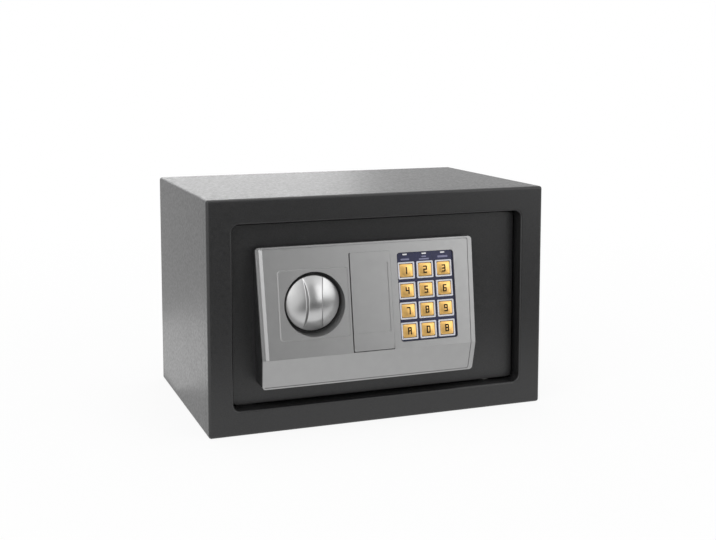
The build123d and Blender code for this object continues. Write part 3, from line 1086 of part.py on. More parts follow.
def main():
    os.makedirs("parts", exist_ok=True)
    make_cabinet()
    make_stops()
    make_hinges()
    make_door_plate()
    make_face_plate()
    make_panel_base()
    make_lock_cover()
    make_keypad()
    make_keypad_board()
    make_knob()
    make_bolt_work()
    make_solenoid()
    make_override_lock()
    make_inner_cover()
    make_batteries()
    make_reset()
    make_wiring()


main()
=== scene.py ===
"""Small electronic safe deposit box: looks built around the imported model.

Metres, in the model's own frame: the origin is the centre of the cabinet's bottom face, +X to the
right as seen from the front, +Y into the cabinet, +Z up. Named lengths are in millimetres where
their heading says mm, and otherwise in metres.
"""
import json
from math import atan2, cos, hypot, pi, radians, sin, sqrt, tan

import bpy
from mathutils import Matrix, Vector

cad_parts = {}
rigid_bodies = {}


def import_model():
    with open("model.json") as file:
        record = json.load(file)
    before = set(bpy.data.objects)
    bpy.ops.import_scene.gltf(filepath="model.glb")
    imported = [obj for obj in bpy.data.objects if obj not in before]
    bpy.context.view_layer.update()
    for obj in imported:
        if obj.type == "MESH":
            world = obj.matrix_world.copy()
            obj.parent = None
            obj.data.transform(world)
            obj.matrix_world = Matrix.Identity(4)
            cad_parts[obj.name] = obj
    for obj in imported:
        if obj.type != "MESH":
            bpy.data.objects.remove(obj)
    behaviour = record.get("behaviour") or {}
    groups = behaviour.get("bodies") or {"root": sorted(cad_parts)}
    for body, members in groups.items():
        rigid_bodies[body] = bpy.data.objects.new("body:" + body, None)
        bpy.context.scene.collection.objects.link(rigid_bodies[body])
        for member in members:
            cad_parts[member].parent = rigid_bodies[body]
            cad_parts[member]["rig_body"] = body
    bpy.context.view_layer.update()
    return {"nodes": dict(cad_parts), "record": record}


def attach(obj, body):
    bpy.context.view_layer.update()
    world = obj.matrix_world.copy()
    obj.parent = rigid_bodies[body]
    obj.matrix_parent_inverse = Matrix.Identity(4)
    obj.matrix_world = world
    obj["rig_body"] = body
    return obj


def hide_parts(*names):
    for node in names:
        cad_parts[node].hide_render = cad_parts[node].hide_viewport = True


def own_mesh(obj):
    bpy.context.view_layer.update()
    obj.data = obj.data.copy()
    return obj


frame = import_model()
NODES = frame["nodes"]
SLOT_OF = {part["node"]: part["material_slot"] for part in frame["record"]["subparts"]}

MM = 0.001
WELD = 1e-6                    # metres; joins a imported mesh's doubled corners

# ---------------------------------------------------------------- camera (metres)
CAMERA_PLACE = (-0.36088, -1.00302, 0.31289)
CAMERA_TURN = -20.497          # degrees about Z
CAMERA_TILT = -6.180           # degrees up from level; the rest of the drop is left to the shift
CAMERA_LENS = 57.39
CAMERA_SENSOR = 36.0
CAMERA_SHIFT_Y = -0.12
CAMERA_CLIP = (0.01, 50.0)

# ---------------------------------------------------------------- sloping panel face (mm)
KINK_Y, KINK_Z = -112.0, 65.5  # where the sloping face meets the chin
TOP_Y, TOP_Z = -97.0, 158.0
TILT = atan2(TOP_Y - KINK_Y, TOP_Z - KINK_Z)
LABEL_TOP_W = -1.3             # heights above the sloping face are named ..._W

# ---------------------------------------------------------------- knob (mm)
KNOB_X, KNOB_Z = -64.3, 109.0
KNOB_RIM_Y, KNOB_BACK_Y = -100.0, -94.4
KNOB_RADIUS = 24.0
KNOB_DOME = 5.6
KNOB_RIM_ROUND = 0.7
KNOB_SKIRT_START = 0.3         # skirt's first loop behind the rim's rounding
KNOB_BACK_EDGE = 0.5           # bevel round the back
GRIP_WIDTH = 11.0              # bar across the knob, at its top
GRIP_RISE = 9.0
GRIP_DRAFT = radians(20.0)     # lean of the bar's sides
GRIP_END_INSET = 1.0
GRIP_EDGE, GRIP_FOOT = 0.8, 1.6    # softness of the bar's top edges and of its foot
KNOB_COLUMNS = 120             # columns of points across the disc, and points in each
KNOB_ROWS = 64
GRIP_COLUMNS = 40              # more of them at each side of the bar, over its soft edges
GRIP_COLUMN_STEP = 0.12
GRIP_COLUMN_START = 0.8        # first one inside the bar's top edge
KNOB_SHADE_WEIGHT = 50

# ---------------------------------------------------------------- keys (mm)
KEY_ROWS = (("1", "2", "3"), ("4", "5", "6"), ("7", "8", "9"), ("a", "0", "b"))
KEY_FIRST_X, KEY_PITCH_X = 21.0, 17.7
KEY_FIRST_Z, KEY_PITCH_Z = 131.4, 17.2
KEY_WIDTH, KEY_HEIGHT = 12.1, 11.3
KEY_SQUARENESS = 13            # exponent of the rounded square that a key is in plan
KEY_POINTS = 96
KEY_FLANGE = 0.9
KEY_FLANGE_THICKNESS = 1.0
KEY_FLANGE_EDGE = 0.05
KEY_UNDER_W, KEY_TOP_W = -4.6, 0.1
KEY_EDGE = 0.4
KEY_EDGE_LOOPS = ((0.13, 0.5), (0.5, 0.87))    # shares of it, inwards and upwards, on its quarter round
KEY_DOME_RADIUS = 4.9
KEY_DOME_RISE = 0.5
KEY_DOME_RINGS = 14
KEY_DOME_CENTRE = 0.5          # share of a ring's step that the flat face in the middle takes
STROKE = 1.15                  # a digit's bars run between the six corners of two squares
STROKE_HALF_WIDTH, STROKE_HALF_HEIGHT = 1.25, 2.65
STROKE_ROUNDING = 0.4
STROKE_BARS = {                # from corner to corner, as (column, row) pairs
    "a": ((0, 2), (1, 2)), "b": ((1, 1), (1, 2)), "c": ((1, 0), (1, 1)), "d": ((0, 0), (1, 0)),
    "e": ((0, 0), (0, 1)), "f": ((0, 1), (0, 2)), "g": ((0, 1), (1, 1)),
}
DIGIT_BARS = {
    "1": "bc", "2": "abged", "3": "abgcd", "4": "fgbc", "5": "afgcd", "6": "afgcde",
    "7": "abc", "8": "abcdefg", "9": "abcdfg", "0": "abcdef", "a": "abcefg", "b": "abcdefg",
}
DIGIT_RELIEF = 0.05
STATUS_BARS = (                # centre X, centre Z, width and height
    (20.8, 140.9, 8.0, 1.5), (38.8, 140.4, 9.6, 1.3), (38.8, 142.6, 4.4, 1.0), (56.7, 141.6, 9.6, 1.7),
)
STATUS_BAR_CORNER = 0.45
CORNER_STEPS = 5               # points along a rounded corner
PRINT_THICKNESS = 0.03


def on_face(u, v, w):
    """Point of the sloping face in metres: u right, v up the slope, w outward, all in mm."""
    y = KINK_Y + v * sin(TILT) - w * cos(TILT)
    z = KINK_Z + v * cos(TILT) + w * sin(TILT)
    return Vector((u, y, z)) * MM


def slope_v(z):
    """Distance up the sloping face from the kink to height z."""
    return (z - KINK_Z) / cos(TILT)


# ---------------------------------------------------------------- materials (mm)
COAT_GRAIN, COAT_RELIEF = 0.9, 0.05    # powder coat's orange peel
SPARK_SIZE = 0.35              # spark texture of moulded plastic


class Shader:
    """A node material being built: a Principled shader and object-space textures in mm."""

    def __init__(self, name, roughness=0.5, metallic=0.0, specular=0.5, colour=(0.5, 0.5, 0.5)):
        self.material = bpy.data.materials.new(name)
        self.material.use_nodes = True
        self.tree = self.material.node_tree
        self.surface = self.tree.nodes["Principled BSDF"]
        self.surface.inputs["Roughness"].default_value = roughness
        self.surface.inputs["Metallic"].default_value = metallic
        self.surface.inputs["Specular IOR Level"].default_value = specular
        self.surface.inputs["Base Color"].default_value = (*colour, 1.0)
        self.place = self.tree.nodes.new("ShaderNodeTexCoord").outputs["Object"]

    def noise(self, size, detail=2.0, roughness=0.5, stretch=None):
        """Noise with features about size mm across, stretched along an axis when asked."""
        node = self.tree.nodes.new("ShaderNodeTexNoise")
        node.inputs["Scale"].default_value = 1.0 / (size * MM)
        node.inputs["Detail"].default_value = detail
        node.inputs["Roughness"].default_value = roughness
        place = self.place
        if stretch:
            mapping = self.tree.nodes.new("ShaderNodeMapping")
            mapping.inputs["Scale"].default_value = stretch
            self.tree.links.new(place, mapping.inputs["Vector"])
            place = mapping.outputs["Vector"]
        self.tree.links.new(place, node.inputs["Vector"])
        return node.outputs["Fac"]

    def cells(self, size, feature="F1"):
        """Voronoi distance with cells about size mm across."""
        node = self.tree.nodes.new("ShaderNodeTexVoronoi")
        node.feature = feature
        node.inputs["Scale"].default_value = 1.0 / (size * MM)
        self.tree.links.new(self.place, node.inputs["Vector"])
        return node.outputs["Distance"]

    def ramp(self, value, low, high, start=0.3, stop=0.7):
        """Colour or grey that runs from low to high as value goes from start to stop."""
        node = self.tree.nodes.new("ShaderNodeValToRGB")
        low_end, high_end = node.color_ramp.elements
        low_end.position, high_end.position = start, stop
        low_end.color = (*low, 1.0) if isinstance(low, tuple) else (low, low, low, 1.0)
        high_end.color = (*high, 1.0) if isinstance(high, tuple) else (high, high, high, 1.0)
        self.tree.links.new(value, node.inputs["Fac"])
        return node.outputs["Color"]

    def colour(self, value, low, high, start=0.3, stop=0.7):
        self.tree.links.new(self.ramp(value, low, high, start, stop), self.surface.inputs["Base Color"])
        return self

    def gloss(self, value, low, high, start=0.3, stop=0.7):
        self.tree.links.new(self.ramp(value, low, high, start, stop), self.surface.inputs["Roughness"])
        return self

    def bump(self, value, height):
        """Relief of the given height in mm."""
        node = self.tree.nodes.new("ShaderNodeBump")
        node.inputs["Strength"].default_value = 1.0
        node.inputs["Distance"].default_value = height * MM
        self.tree.links.new(value, node.inputs["Height"])
        self.tree.links.new(node.outputs["Normal"], self.surface.inputs["Normal"])
        return self

    def coat(self, weight, roughness):
        self.surface.inputs["Coat Weight"].default_value = weight
        self.surface.inputs["Coat Roughness"].default_value = roughness
        return self


def tinted(colour, share):
    return tuple(channel * share for channel in colour)


def powder_coat(name, colour, roughness):
    """Textured powder coat: fine orange peel with lighter and darker specks."""
    shader = Shader(name, specular=0.6)
    grains = shader.noise(COAT_GRAIN, detail=3.0, roughness=0.6)
    shader.colour(grains, tinted(colour, 0.55), tinted(colour, 1.6), 0.34, 0.66)
    shader.gloss(shader.noise(2.6 * COAT_GRAIN, detail=2.0), roughness - 0.05, roughness + 0.06)
    return shader.bump(grains, COAT_RELIEF).material


def moulded(name, colour, roughness, relief=0.006, metallic=0.0, variation=0.06, specular=0.5):
    """Moulded or painted plastic: nearly even colour, very fine spark texture, uneven gloss."""
    shader = Shader(name, metallic=metallic, specular=specular)
    shader.colour(shader.noise(9.0, detail=4.0), tinted(colour, 1 - variation), tinted(colour, 1 + variation))
    shader.gloss(shader.noise(3.2, detail=3.0), roughness - 0.03, roughness + 0.04)
    return shader.bump(shader.noise(SPARK_SIZE, detail=2.0), relief).material


def metal(name, colour, roughness, grain=0.5, relief=0.003, stretch=None, variation=0.10, uneven=0.07):
    """Plated or turned metal, with tool marks along one axis when stretched."""
    shader = Shader(name, metallic=1.0)
    marks = shader.noise(grain, detail=3.0, stretch=stretch)
    shader.colour(shader.noise(6.0, detail=4.0), tinted(colour, 1 - variation), tinted(colour, 1 + variation))
    shader.gloss(marks, roughness - uneven, roughness + uneven)
    return shader.bump(marks, relief).material


def carpet(name, colour):
    shader = Shader(name, roughness=0.95, specular=0.15)
    tufts = shader.noise(0.8, detail=4.0, roughness=0.7)
    shader.colour(tufts, tinted(colour, 0.35), tinted(colour, 1.7), 0.35, 0.68)
    shader.surface.inputs["Sheen Weight"].default_value = 0.35
    shader.surface.inputs["Sheen Roughness"].default_value = 0.6
    return shader.bump(tufts, 0.5).material


def printed_film(name, colour):
    shader = Shader(name, specular=0.3)
    shader.colour(shader.noise(7.0, detail=3.0), tinted(colour, 0.85), tinted(colour, 1.2))
    shader.gloss(shader.noise(1.5, detail=3.0), 0.18, 0.30)
    shader.coat(0.15, 0.15)
    return shader.bump(shader.noise(2.5, detail=2.0), 0.005).material


def gold_plate(name, colour):
    shader = Shader(name, metallic=1.0)
    shader.colour(shader.noise(4.0, detail=3.0), tinted(colour, 0.95), tinted(colour, 1.04))
    shader.gloss(shader.noise(2.5, detail=2.0), 0.36, 0.42)
    return shader.bump(shader.noise(0.6, detail=2.0), 0.0005).material


def circuit_board(name, colour):
    shader = Shader(name, specular=0.5)
    tracks = shader.cells(3.2, "DISTANCE_TO_EDGE")
    shader.colour(tracks, tinted(colour, 1.9), colour, 0.02, 0.06)
    shader.gloss(shader.noise(2.0), 0.28, 0.42)
    return shader.bump(tracks, 0.02).material


def taped_coil(name, colour):
    shader = Shader(name, roughness=0.4)
    turns = shader.noise(0.35, detail=1.0, stretch=(0.05, 0.05, 1.0))
    shader.colour(turns, tinted(colour, 0.6), tinted(colour, 1.5))
    return shader.bump(turns, 0.06).material


def make_materials():
    return {
        "charcoal_coat": powder_coat("charcoal_coat", (0.011, 0.011, 0.0115), roughness=0.37),
        "inner_coat": powder_coat("inner_coat", (0.030, 0.030, 0.032), roughness=0.55),
        "carpet": carpet("carpet", (0.035, 0.035, 0.038)),
        "zinc_steel": metal("zinc_steel", (0.46, 0.46, 0.44), 0.36, grain=1.4, relief=0.01),
        "bright_bolt": metal("bright_bolt", (0.62, 0.62, 0.62), 0.22, grain=0.4, stretch=(1.0, 0.05, 0.05)),
        "white_nylon": moulded("white_nylon", (0.62, 0.62, 0.58), 0.42),
        "black_plastic": moulded("black_plastic", (0.018, 0.018, 0.019), 0.40, relief=0.012, variation=0.2),
        "silver_plastic": moulded("silver_plastic", (0.360, 0.360, 0.360), 0.31, relief=0.002, metallic=0.72,
                                  variation=0.02),
        "silver_knob": metal("silver_knob", (0.54, 0.54, 0.54), 0.30, grain=0.4, relief=0.0006,
                             variation=0.02, uneven=0.02),
        "navy_label": printed_film("navy_label", (0.012, 0.014, 0.055)),
        "pale_plastic": moulded("pale_plastic", (0.62, 0.62, 0.66), 0.30, metallic=0.3),
        "gold_key": gold_plate("gold_key", (0.96, 0.60, 0.207)),
        "clear_led": moulded("clear_led", (0.85, 0.85, 0.88), 0.12),
        "green_board": circuit_board("green_board", (0.010, 0.080, 0.030)),
        "chromed_zinc": metal("chromed_zinc", (0.60, 0.60, 0.61), 0.12, relief=0.002),
        "copper_coil": taped_coil("copper_coil", (0.28, 0.12, 0.04)),
        "cell_wrap": moulded("cell_wrap", (0.05, 0.05, 0.055), 0.25, variation=0.2),
        "black_rubber": moulded("black_rubber", (0.015, 0.015, 0.015), 0.62, relief=0.02, variation=0.25),
        "red_plastic": moulded("red_plastic", (0.42, 0.02, 0.015), 0.30),
        "key_print": moulded("key_print", (0.012, 0.006, 0.003), 0.60, variation=0.15, specular=0.15),
        "label_print": moulded("label_print", (0.20, 0.20, 0.31), 0.40, variation=0.25),
    }


MATERIALS = make_materials()


def paint(piece, slot):
    piece.data.materials.clear()
    piece.data.materials.append(MATERIALS[slot])


# ---------------------------------------------------------------- geometry helpers (mm)
EDGE_SEGMENTS = 2
EDGE_ANGLE = radians(28.0)     # edges sharper than this are rounded
EDGE_SHADE_WEIGHT = 90


def body_of(node):
    return NODES[node]["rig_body"]


def new_piece(name, verts, faces, slot, body, replaces=()):
    """Mesh piece that rides on a body, with the one material named by the given slot."""
    mesh = bpy.data.meshes.new(name)
    mesh.from_pydata([tuple(v) for v in verts], [], faces)
    mesh.update()
    piece = bpy.data.objects.new(name, mesh)
    bpy.context.scene.collection.objects.link(piece)
    paint(piece, slot)
    mesh.shade_smooth()
    finish_piece(piece, body, replaces)
    return piece


def finish_piece(piece, body, replaces=()):
    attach(piece, body)
    if replaces:
        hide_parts(*replaces)


def round_edges(piece, width):
    """Bevel of the given width in mm on every sharp edge, shaded so that flat faces stay flat."""
    bevel = piece.modifiers.new("edges", "BEVEL")
    bevel.width = width * MM
    bevel.segments = EDGE_SEGMENTS
    bevel.limit_method = "ANGLE"
    bevel.angle_limit = EDGE_ANGLE
    bevel.harden_normals = False
    shade = piece.modifiers.new("shade", "WEIGHTED_NORMAL")
    shade.keep_sharp = False
    shade.weight = EDGE_SHADE_WEIGHT


def rounded_loop(width, height, radius):
    """Points (u, v) round a rectangle with rounded corners."""
    half_u, half_v = width / 2, height / 2
    points = []
    for turn, (su, sv) in enumerate(((1, 1), (-1, 1), (-1, -1), (1, -1))):
        for step in range(CORNER_STEPS + 1):
            angle = (turn + step / CORNER_STEPS) * pi / 2
            points.append((su * (half_u - radius) + radius * cos(angle),
                           sv * (half_v - radius) + radius * sin(angle)))
    return points


def squarish_loop(inset):
    """Points (u, v) by angle round a key's rounded square, drawn in by inset."""
    half_u, half_v, power = KEY_WIDTH / 2 - inset, KEY_HEIGHT / 2 - inset, KEY_SQUARENESS
    points = []
    for i in range(KEY_POINTS):
        across, up = cos(2 * pi * i / KEY_POINTS), sin(2 * pi * i / KEY_POINTS)
        reach = (abs(across / half_u) ** power + abs(up / half_v) ** power) ** (-1 / power)
        points.append((reach * across, reach * up))
    return points


def bridge(count, loops, first=0):
    """Quads between successive loops of count points each."""
    faces = []
    for loop in range(loops - 1):
        low = first + loop * count
        for i in range(count):
            j = (i + 1) % count
            faces.append((low + i, low + j, low + count + j, low + count + i))
    return faces


# ---------------------------------------------------------------- knob
def smooth_min(a, b, k):
    return min(a, b) - max(k - abs(a - b), 0.0) ** 2 / (4 * k)


def smooth_max(a, b, k):
    return -smooth_min(-a, -b, k)


def cap_height(radius, rise, x, y):
    """Height of a spherical cap above its rim; it goes on down past the rim."""
    ball = (radius ** 2 + rise ** 2) / (2 * rise)
    return rise - ball + sqrt(ball ** 2 - x ** 2 - y ** 2)


def knob_height(x, y):
    """Height of the knob's face above its rim: a low dome with a bar across it."""
    dome = cap_height(KNOB_RADIUS, KNOB_DOME, x, y)
    arc = cap_height(KNOB_RADIUS - GRIP_END_INSET, GRIP_RISE, x, y)
    side = GRIP_RISE - (abs(x) - GRIP_WIDTH / 2) / tan(GRIP_DRAFT)
    height = smooth_max(dome, smooth_min(arc, side, GRIP_EDGE), GRIP_FOOT)
    beyond = max(hypot(x, y) - KNOB_RADIUS + KNOB_RIM_ROUND, 0.0)
    rounding = KNOB_RIM_ROUND - sqrt(max(KNOB_RIM_ROUND ** 2 - beyond ** 2, 0.0))
    return height - rounding


def knob_column_places():
    """X of each column: close together at the rim and at the grip's edges."""
    places = {round(KNOB_RADIUS * cos(pi * i / KNOB_COLUMNS), 4) for i in range(1, KNOB_COLUMNS)}
    first = GRIP_WIDTH / 2 - GRIP_COLUMN_START
    for side in (-1, 1):
        places |= {round(side * (first + GRIP_COLUMN_STEP * step), 4) for step in range(GRIP_COLUMNS)}
    return sorted(places)


def knob_front():
    """Points and faces of the knob's front, in columns across the disc, and its rim's points in order."""
    columns = knob_column_places()
    verts, faces = [], []
    for x in columns:
        half = sqrt(KNOB_RADIUS ** 2 - x ** 2)
        for row in range(KNOB_ROWS + 1):
            y = -half * cos(pi * row / KNOB_ROWS)
            verts.append((KNOB_X + x, KNOB_RIM_Y - knob_height(x, y), KNOB_Z + y))
    per = KNOB_ROWS + 1
    for c in range(len(columns) - 1):
        for row in range(KNOB_ROWS):
            a = c * per + row
            faces.append((a, a + per, a + per + 1, a + 1))
    last = (len(columns) - 1) * per
    left = len(verts)
    verts.append((KNOB_X - KNOB_RADIUS, KNOB_RIM_Y + KNOB_RIM_ROUND, KNOB_Z))
    verts.append((KNOB_X + KNOB_RADIUS, KNOB_RIM_Y + KNOB_RIM_ROUND, KNOB_Z))
    faces += [(left, row, row + 1) for row in range(KNOB_ROWS)]
    faces += [(left + 1, last + row + 1, last + row) for row in range(KNOB_ROWS)]
    bottom = [c * per for c in range(len(columns))]
    top = [c * per + KNOB_ROWS for c in reversed(range(len(columns)))]
    return verts, faces, bottom + [left + 1] + top + [left]


def add_knob_skirt(verts, faces, rim):
    """Side of the knob from its rim to its bevelled back, and the back's one face."""
    back = KNOB_RIM_Y - KNOB_BACK_Y
    levels = ((0.0, -KNOB_RIM_ROUND - KNOB_SKIRT_START), (0.0, back + KNOB_BACK_EDGE), (KNOB_BACK_EDGE, back))
    ring = rim
    for inset, height in levels:
        share = 1 - inset / KNOB_RADIUS
        start = len(verts)
        for index in rim:
            x, _, z = verts[index]
            verts.append((KNOB_X + (x - KNOB_X) * share, KNOB_RIM_Y - height, KNOB_Z + (z - KNOB_Z) * share))
        new_ring = list(range(start, start + len(rim)))
        for i in range(len(rim)):
            j = (i + 1) % len(rim)
            faces.append((ring[j], ring[i], new_ring[i], new_ring[j]))
        ring = new_ring
    faces.append(tuple(reversed(ring)))


def make_knob():
    verts, faces, rim = knob_front()
    add_knob_skirt(verts, faces, rim)
    knob = new_piece("knob_cap", [Vector(v) * MM for v in verts], faces, "silver_knob",
                     body_of("knob"), ["knob"])
    shade = knob.modifiers.new("shade", "WEIGHTED_NORMAL")
    shade.weight = KNOB_SHADE_WEIGHT


# ---------------------------------------------------------------- keys
def key_centres():
    for row, names in enumerate(KEY_ROWS):
        for column, name in enumerate(names):
            yield name, KEY_FIRST_X + KEY_PITCH_X * column, slope_v(KEY_FIRST_Z - KEY_PITCH_Z * row)


def key_levels():
    """(inset, height) of each loop of a key, from its flange up to its rounded top edge."""
    flange_top = KEY_UNDER_W + KEY_FLANGE_THICKNESS
    shoulder = KEY_TOP_W - KEY_EDGE
    flange = [(-KEY_FLANGE, KEY_UNDER_W), (-KEY_FLANGE, flange_top - KEY_FLANGE_EDGE),
              (-KEY_FLANGE + KEY_FLANGE_EDGE, flange_top)]
    edge = [(inward * KEY_EDGE, shoulder + upward * KEY_EDGE) for inward, upward in KEY_EDGE_LOOPS]
    return flange + [(0.0, flange_top), (0.0, shoulder)] + edge + [(KEY_EDGE, KEY_TOP_W)]


def dome_height(u, v):
    """Height of a key's low round dome at (u, v) from its centre."""
    share = min(hypot(u, v) / KEY_DOME_RADIUS, 1.0)
    return KEY_DOME_RISE * (1 - share ** 2)


def make_key(name, u0, v0):
    """Key cap with a flange, rounded edges and a low round dome."""
    verts, loops = [], key_levels()
    for inset, w in loops:
        verts += [on_face(u0 + u, v0 + v, w) for u, v in squarish_loop(inset)]
    count = len(verts) // len(loops)
    faces = bridge(count, len(loops))
    faces.append(tuple(reversed(range(count))))
    for ring in range(KEY_DOME_RINGS):
        radius = KEY_DOME_RADIUS * (1 - ring / (KEY_DOME_RINGS - KEY_DOME_CENTRE))
        for i in range(KEY_POINTS):
            u, v = radius * cos(2 * pi * i / KEY_POINTS), radius * sin(2 * pi * i / KEY_POINTS)
            verts.append(on_face(u0 + u, v0 + v, KEY_TOP_W + dome_height(u, v)))
    faces += bridge(count, KEY_DOME_RINGS + 1, (len(loops) - 1) * count)
    faces.append(tuple(range(len(verts) - count, len(verts))))
    return new_piece(f"key_{name}_cap", verts, faces, "gold_key", f"key_{name}", [f"key_{name}"])


def stroke_corner(place):
    """Centre (u, v) of one of the six corners that a digit's bars run between."""
    column, row = place
    return (2 * column - 1) * STROKE_HALF_WIDTH, (row - 1) * STROKE_HALF_HEIGHT


def joint_outline(directions):
    """Square where bars meet, its corners rounded where no bar leaves beside them."""
    half, points = STROKE / 2, []
    for su, sv in ((1, 1), (-1, 1), (-1, -1), (1, -1)):
        beside = [(su, 0), (0, sv)] if su == sv else [(0, sv), (su, 0)]
        if any(side in directions for side in beside):
            points.append((su * half, sv * half))
        else:
            cut = half - STROKE_ROUNDING
            for du, dv in beside:
                points.append((su * (half if du else cut), sv * (half if dv else cut)))
    return points


def digit_outline(name):
    """Flat points (u, v) and faces of a digit: one face for each bar and each place where bars meet."""
    points, faces = [], []

    def index(u, v):
        place = (round(u, 4), round(v, 4))
        if place not in points:
            points.append(place)
        return points.index(place)

    meets = {}
    for bar in DIGIT_BARS[name]:
        (c0, r0), (c1, r1) = STROKE_BARS[bar]
        meets.setdefault((c0, r0), set()).add((c1 - c0, r1 - r0))
        meets.setdefault((c1, r1), set()).add((c0 - c1, r0 - r1))
        (u0, v0), (u1, v1) = stroke_corner((c0, r0)), stroke_corner((c1, r1))
        half = STROKE / 2
        if r0 == r1:
            corners = ((u0 + half, v0 - half), (u1 - half, v0 - half), (u1 - half, v0 + half),
                       (u0 + half, v0 + half))
        else:
            corners = ((u0 - half, v0 + half), (u0 + half, v0 + half), (u0 + half, v1 - half),
                       (u0 - half, v1 - half))
        faces.append([index(u, v) for u, v in corners])
    for place, directions in meets.items():
        u0, v0 = stroke_corner(place)
        faces.append([index(u0 + u, v0 + v) for u, v in joint_outline(directions)])
    return points, faces


def make_digit(name, u0, v0):
    """The key's number or letter as a thin raised print that follows the dome."""
    points, flat = digit_outline(name)
    middle = STROKE_HALF_WIDTH if name == "1" else 0.0
    verts, count = [], len(points)
    for lift in (DIGIT_RELIEF, -DIGIT_RELIEF):
        for u, v in points:
            verts.append(on_face(u0 + u - middle, v0 + v, KEY_TOP_W + dome_height(u - middle, v) + lift))
    faces = [tuple(face) for face in flat] + [tuple(count + i for i in reversed(face)) for face in flat]
    edges = {(a, b) for face in flat for a, b in zip(face, face[1:] + face[:1])}
    faces += [(b, a, count + a, count + b) for a, b in sorted(edges) if (b, a) not in edges]
    piece = new_piece(f"key_{name}_print", verts, faces, "key_print", f"key_{name}")
    piece.data.shade_flat()
    return piece


def make_keys():
    for name, u, v in key_centres():
        make_key(name, u, v)
        make_digit(name, u, v)


def make_status_bars():
    """Generic printed bars under the indicator lights."""
    for index, (x, z, width, height) in enumerate(STATUS_BARS):
        v = slope_v(z)
        loop = rounded_loop(width, height, STATUS_BAR_CORNER)
        verts = []
        for w in (LABEL_TOP_W, LABEL_TOP_W + PRINT_THICKNESS):
            verts += [on_face(x + a, v + b, w) for a, b in loop]
        count = len(loop)
        faces = bridge(count, 2) + [tuple(range(count, 2 * count)), tuple(reversed(range(count)))]
        bar = new_piece(f"status_bar_{index + 1}", verts, faces, "label_print", body_of("keypad_label"))
        bar.data.shade_flat()


# ---------------------------------------------------------------- carried-over pieces
EDGE_WIDTHS = {                # mm
    "body_shell": 0.4, "front_frame": 0.5, "back_panel": 0.3, "door_plate": 0.4, "panel_base": 0.3,
    "key_frames": 0.3, "keypad_label": 0.05, "floor_mat": 0.5, "indicator_leds": 0.15, "inner_cover": 0.4,
    "battery_lid": 0.3, "keypad_board": 0.1, "plunger_spring": 0.0, "wiring_loom": 0.0,
    "solenoid_coil": 0.2, "batteries": 0.4, "battery_contacts": 0.08, "stud_clips": 0.1,
    "key_switches": 0.1,
}
DEFAULT_EDGE = 0.2
CRISP = ("face_plate", "lock_cover")     # their own normals show every thin wall and line as it is
FLATTEN_ANGLE = radians(0.3)   # faces that meet at less than this are one face


def dress_nodes(replaced):
    """Material for every CAD node, and rounded edges for those that stay visible, apart from the crisp ones
    and those given no edge width.
    """
    for name, node in NODES.items():
        paint(node, SLOT_OF[name])
        if name in replaced or name in CRISP:
            continue
        for layer in ("custom_normal", "sharp_edge", "sharp_face"):
            if layer in node.data.attributes:
                node.data.attributes.remove(node.data.attributes[layer])
        node.data.shade_smooth()
        weld = node.modifiers.new("weld", "WELD")
        weld.merge_threshold = WELD
        flatten = node.modifiers.new("flatten", "DECIMATE")
        flatten.decimate_type = "DISSOLVE"
        flatten.angle_limit = FLATTEN_ANGLE
        width = EDGE_WIDTHS.get(name, DEFAULT_EDGE)
        if width:
            round_edges(node, width)


def shorten_spring():
    """Gives the plunger's spring a mesh of its own; the spring is not shortened here."""
    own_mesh(NODES["plunger_spring"])


# ---------------------------------------------------------------- camera, light and floor (metres)
FLOOR_DROP = 0.0002            # below the cabinet's bottom
FLOOR_HALF = 8.0
FLOOR_ROUGHNESS = 0.9
FLOOR_FADE = (0.35, 1.1)       # the shadow fades out between these distances from the object's middle
FLOOR_NEAR_WHITE = 0.90        # share of plain white within the first of them
WORLD_FILL = 0.55              # what diffuse rays see of the room
LAMPS = (
    # name, place, width and height, watts
    ("key_lamp", (-1.8, -1.7, 1.4), (2.0, 2.6), 20.0),
    ("fill_lamp", (1.42, -2.0, 0.90), (1.5, 2.0), 9.0),
    ("top_lamp", (0.0, 0.2, 2.2), (1.6, 1.6), 12.0),
    ("back_lamp", (0.24, 2.2, 0.75), (1.15, 0.6), 4.4),
)
LAMP_TARGET = Vector((0.0, 0.0, 0.1))
CARD_LIFT = 0.001              # cards that lie down, above the floor
MIRROR_WALL = (                # upright card in front of the object: its two lower corners, height, glow
    "room_card", (-0.1, -3.2), (1.35, -3.2), 3.6, 0.18,
)
MIRROR_FLOORS = (              # cards that lie down: their corners and glow
    ("table_card", ((-0.1, -2.6), (1.3, -2.6), (0.52, -0.30), (-0.16, -0.30)), 0.12),
    ("side_card", ((-0.70, 0.05), (-0.16, 0.05), (-0.16, 0.36), (-0.70, 0.36)), 1.60),
    ("back_card", ((-3.0, 0.45), (1.0, 0.45), (1.0, 3.4), (-3.0, 3.4)), 0.92),
)


def make_camera():
    data = bpy.data.cameras.new("camera")
    data.lens = CAMERA_LENS
    data.sensor_width = CAMERA_SENSOR
    data.shift_y = CAMERA_SHIFT_Y
    data.clip_start, data.clip_end = CAMERA_CLIP
    camera = bpy.data.objects.new("camera", data)
    camera.location = CAMERA_PLACE
    camera.rotation_euler = (radians(90.0 + CAMERA_TILT), 0.0, radians(CAMERA_TURN))
    bpy.context.scene.collection.objects.link(camera)
    bpy.context.scene.camera = camera


def make_lamps():
    for name, place, size, watts in LAMPS:
        data = bpy.data.lights.new(name, "AREA")
        data.shape = "RECTANGLE"
        data.size, data.size_y = size
        data.energy = watts
        lamp = bpy.data.objects.new(name, data)
        lamp.location = place
        lamp.rotation_euler = (LAMP_TARGET - Vector(place)).to_track_quat("-Z", "Y").to_euler()
        lamp.visible_camera = False
        bpy.context.scene.collection.objects.link(lamp)


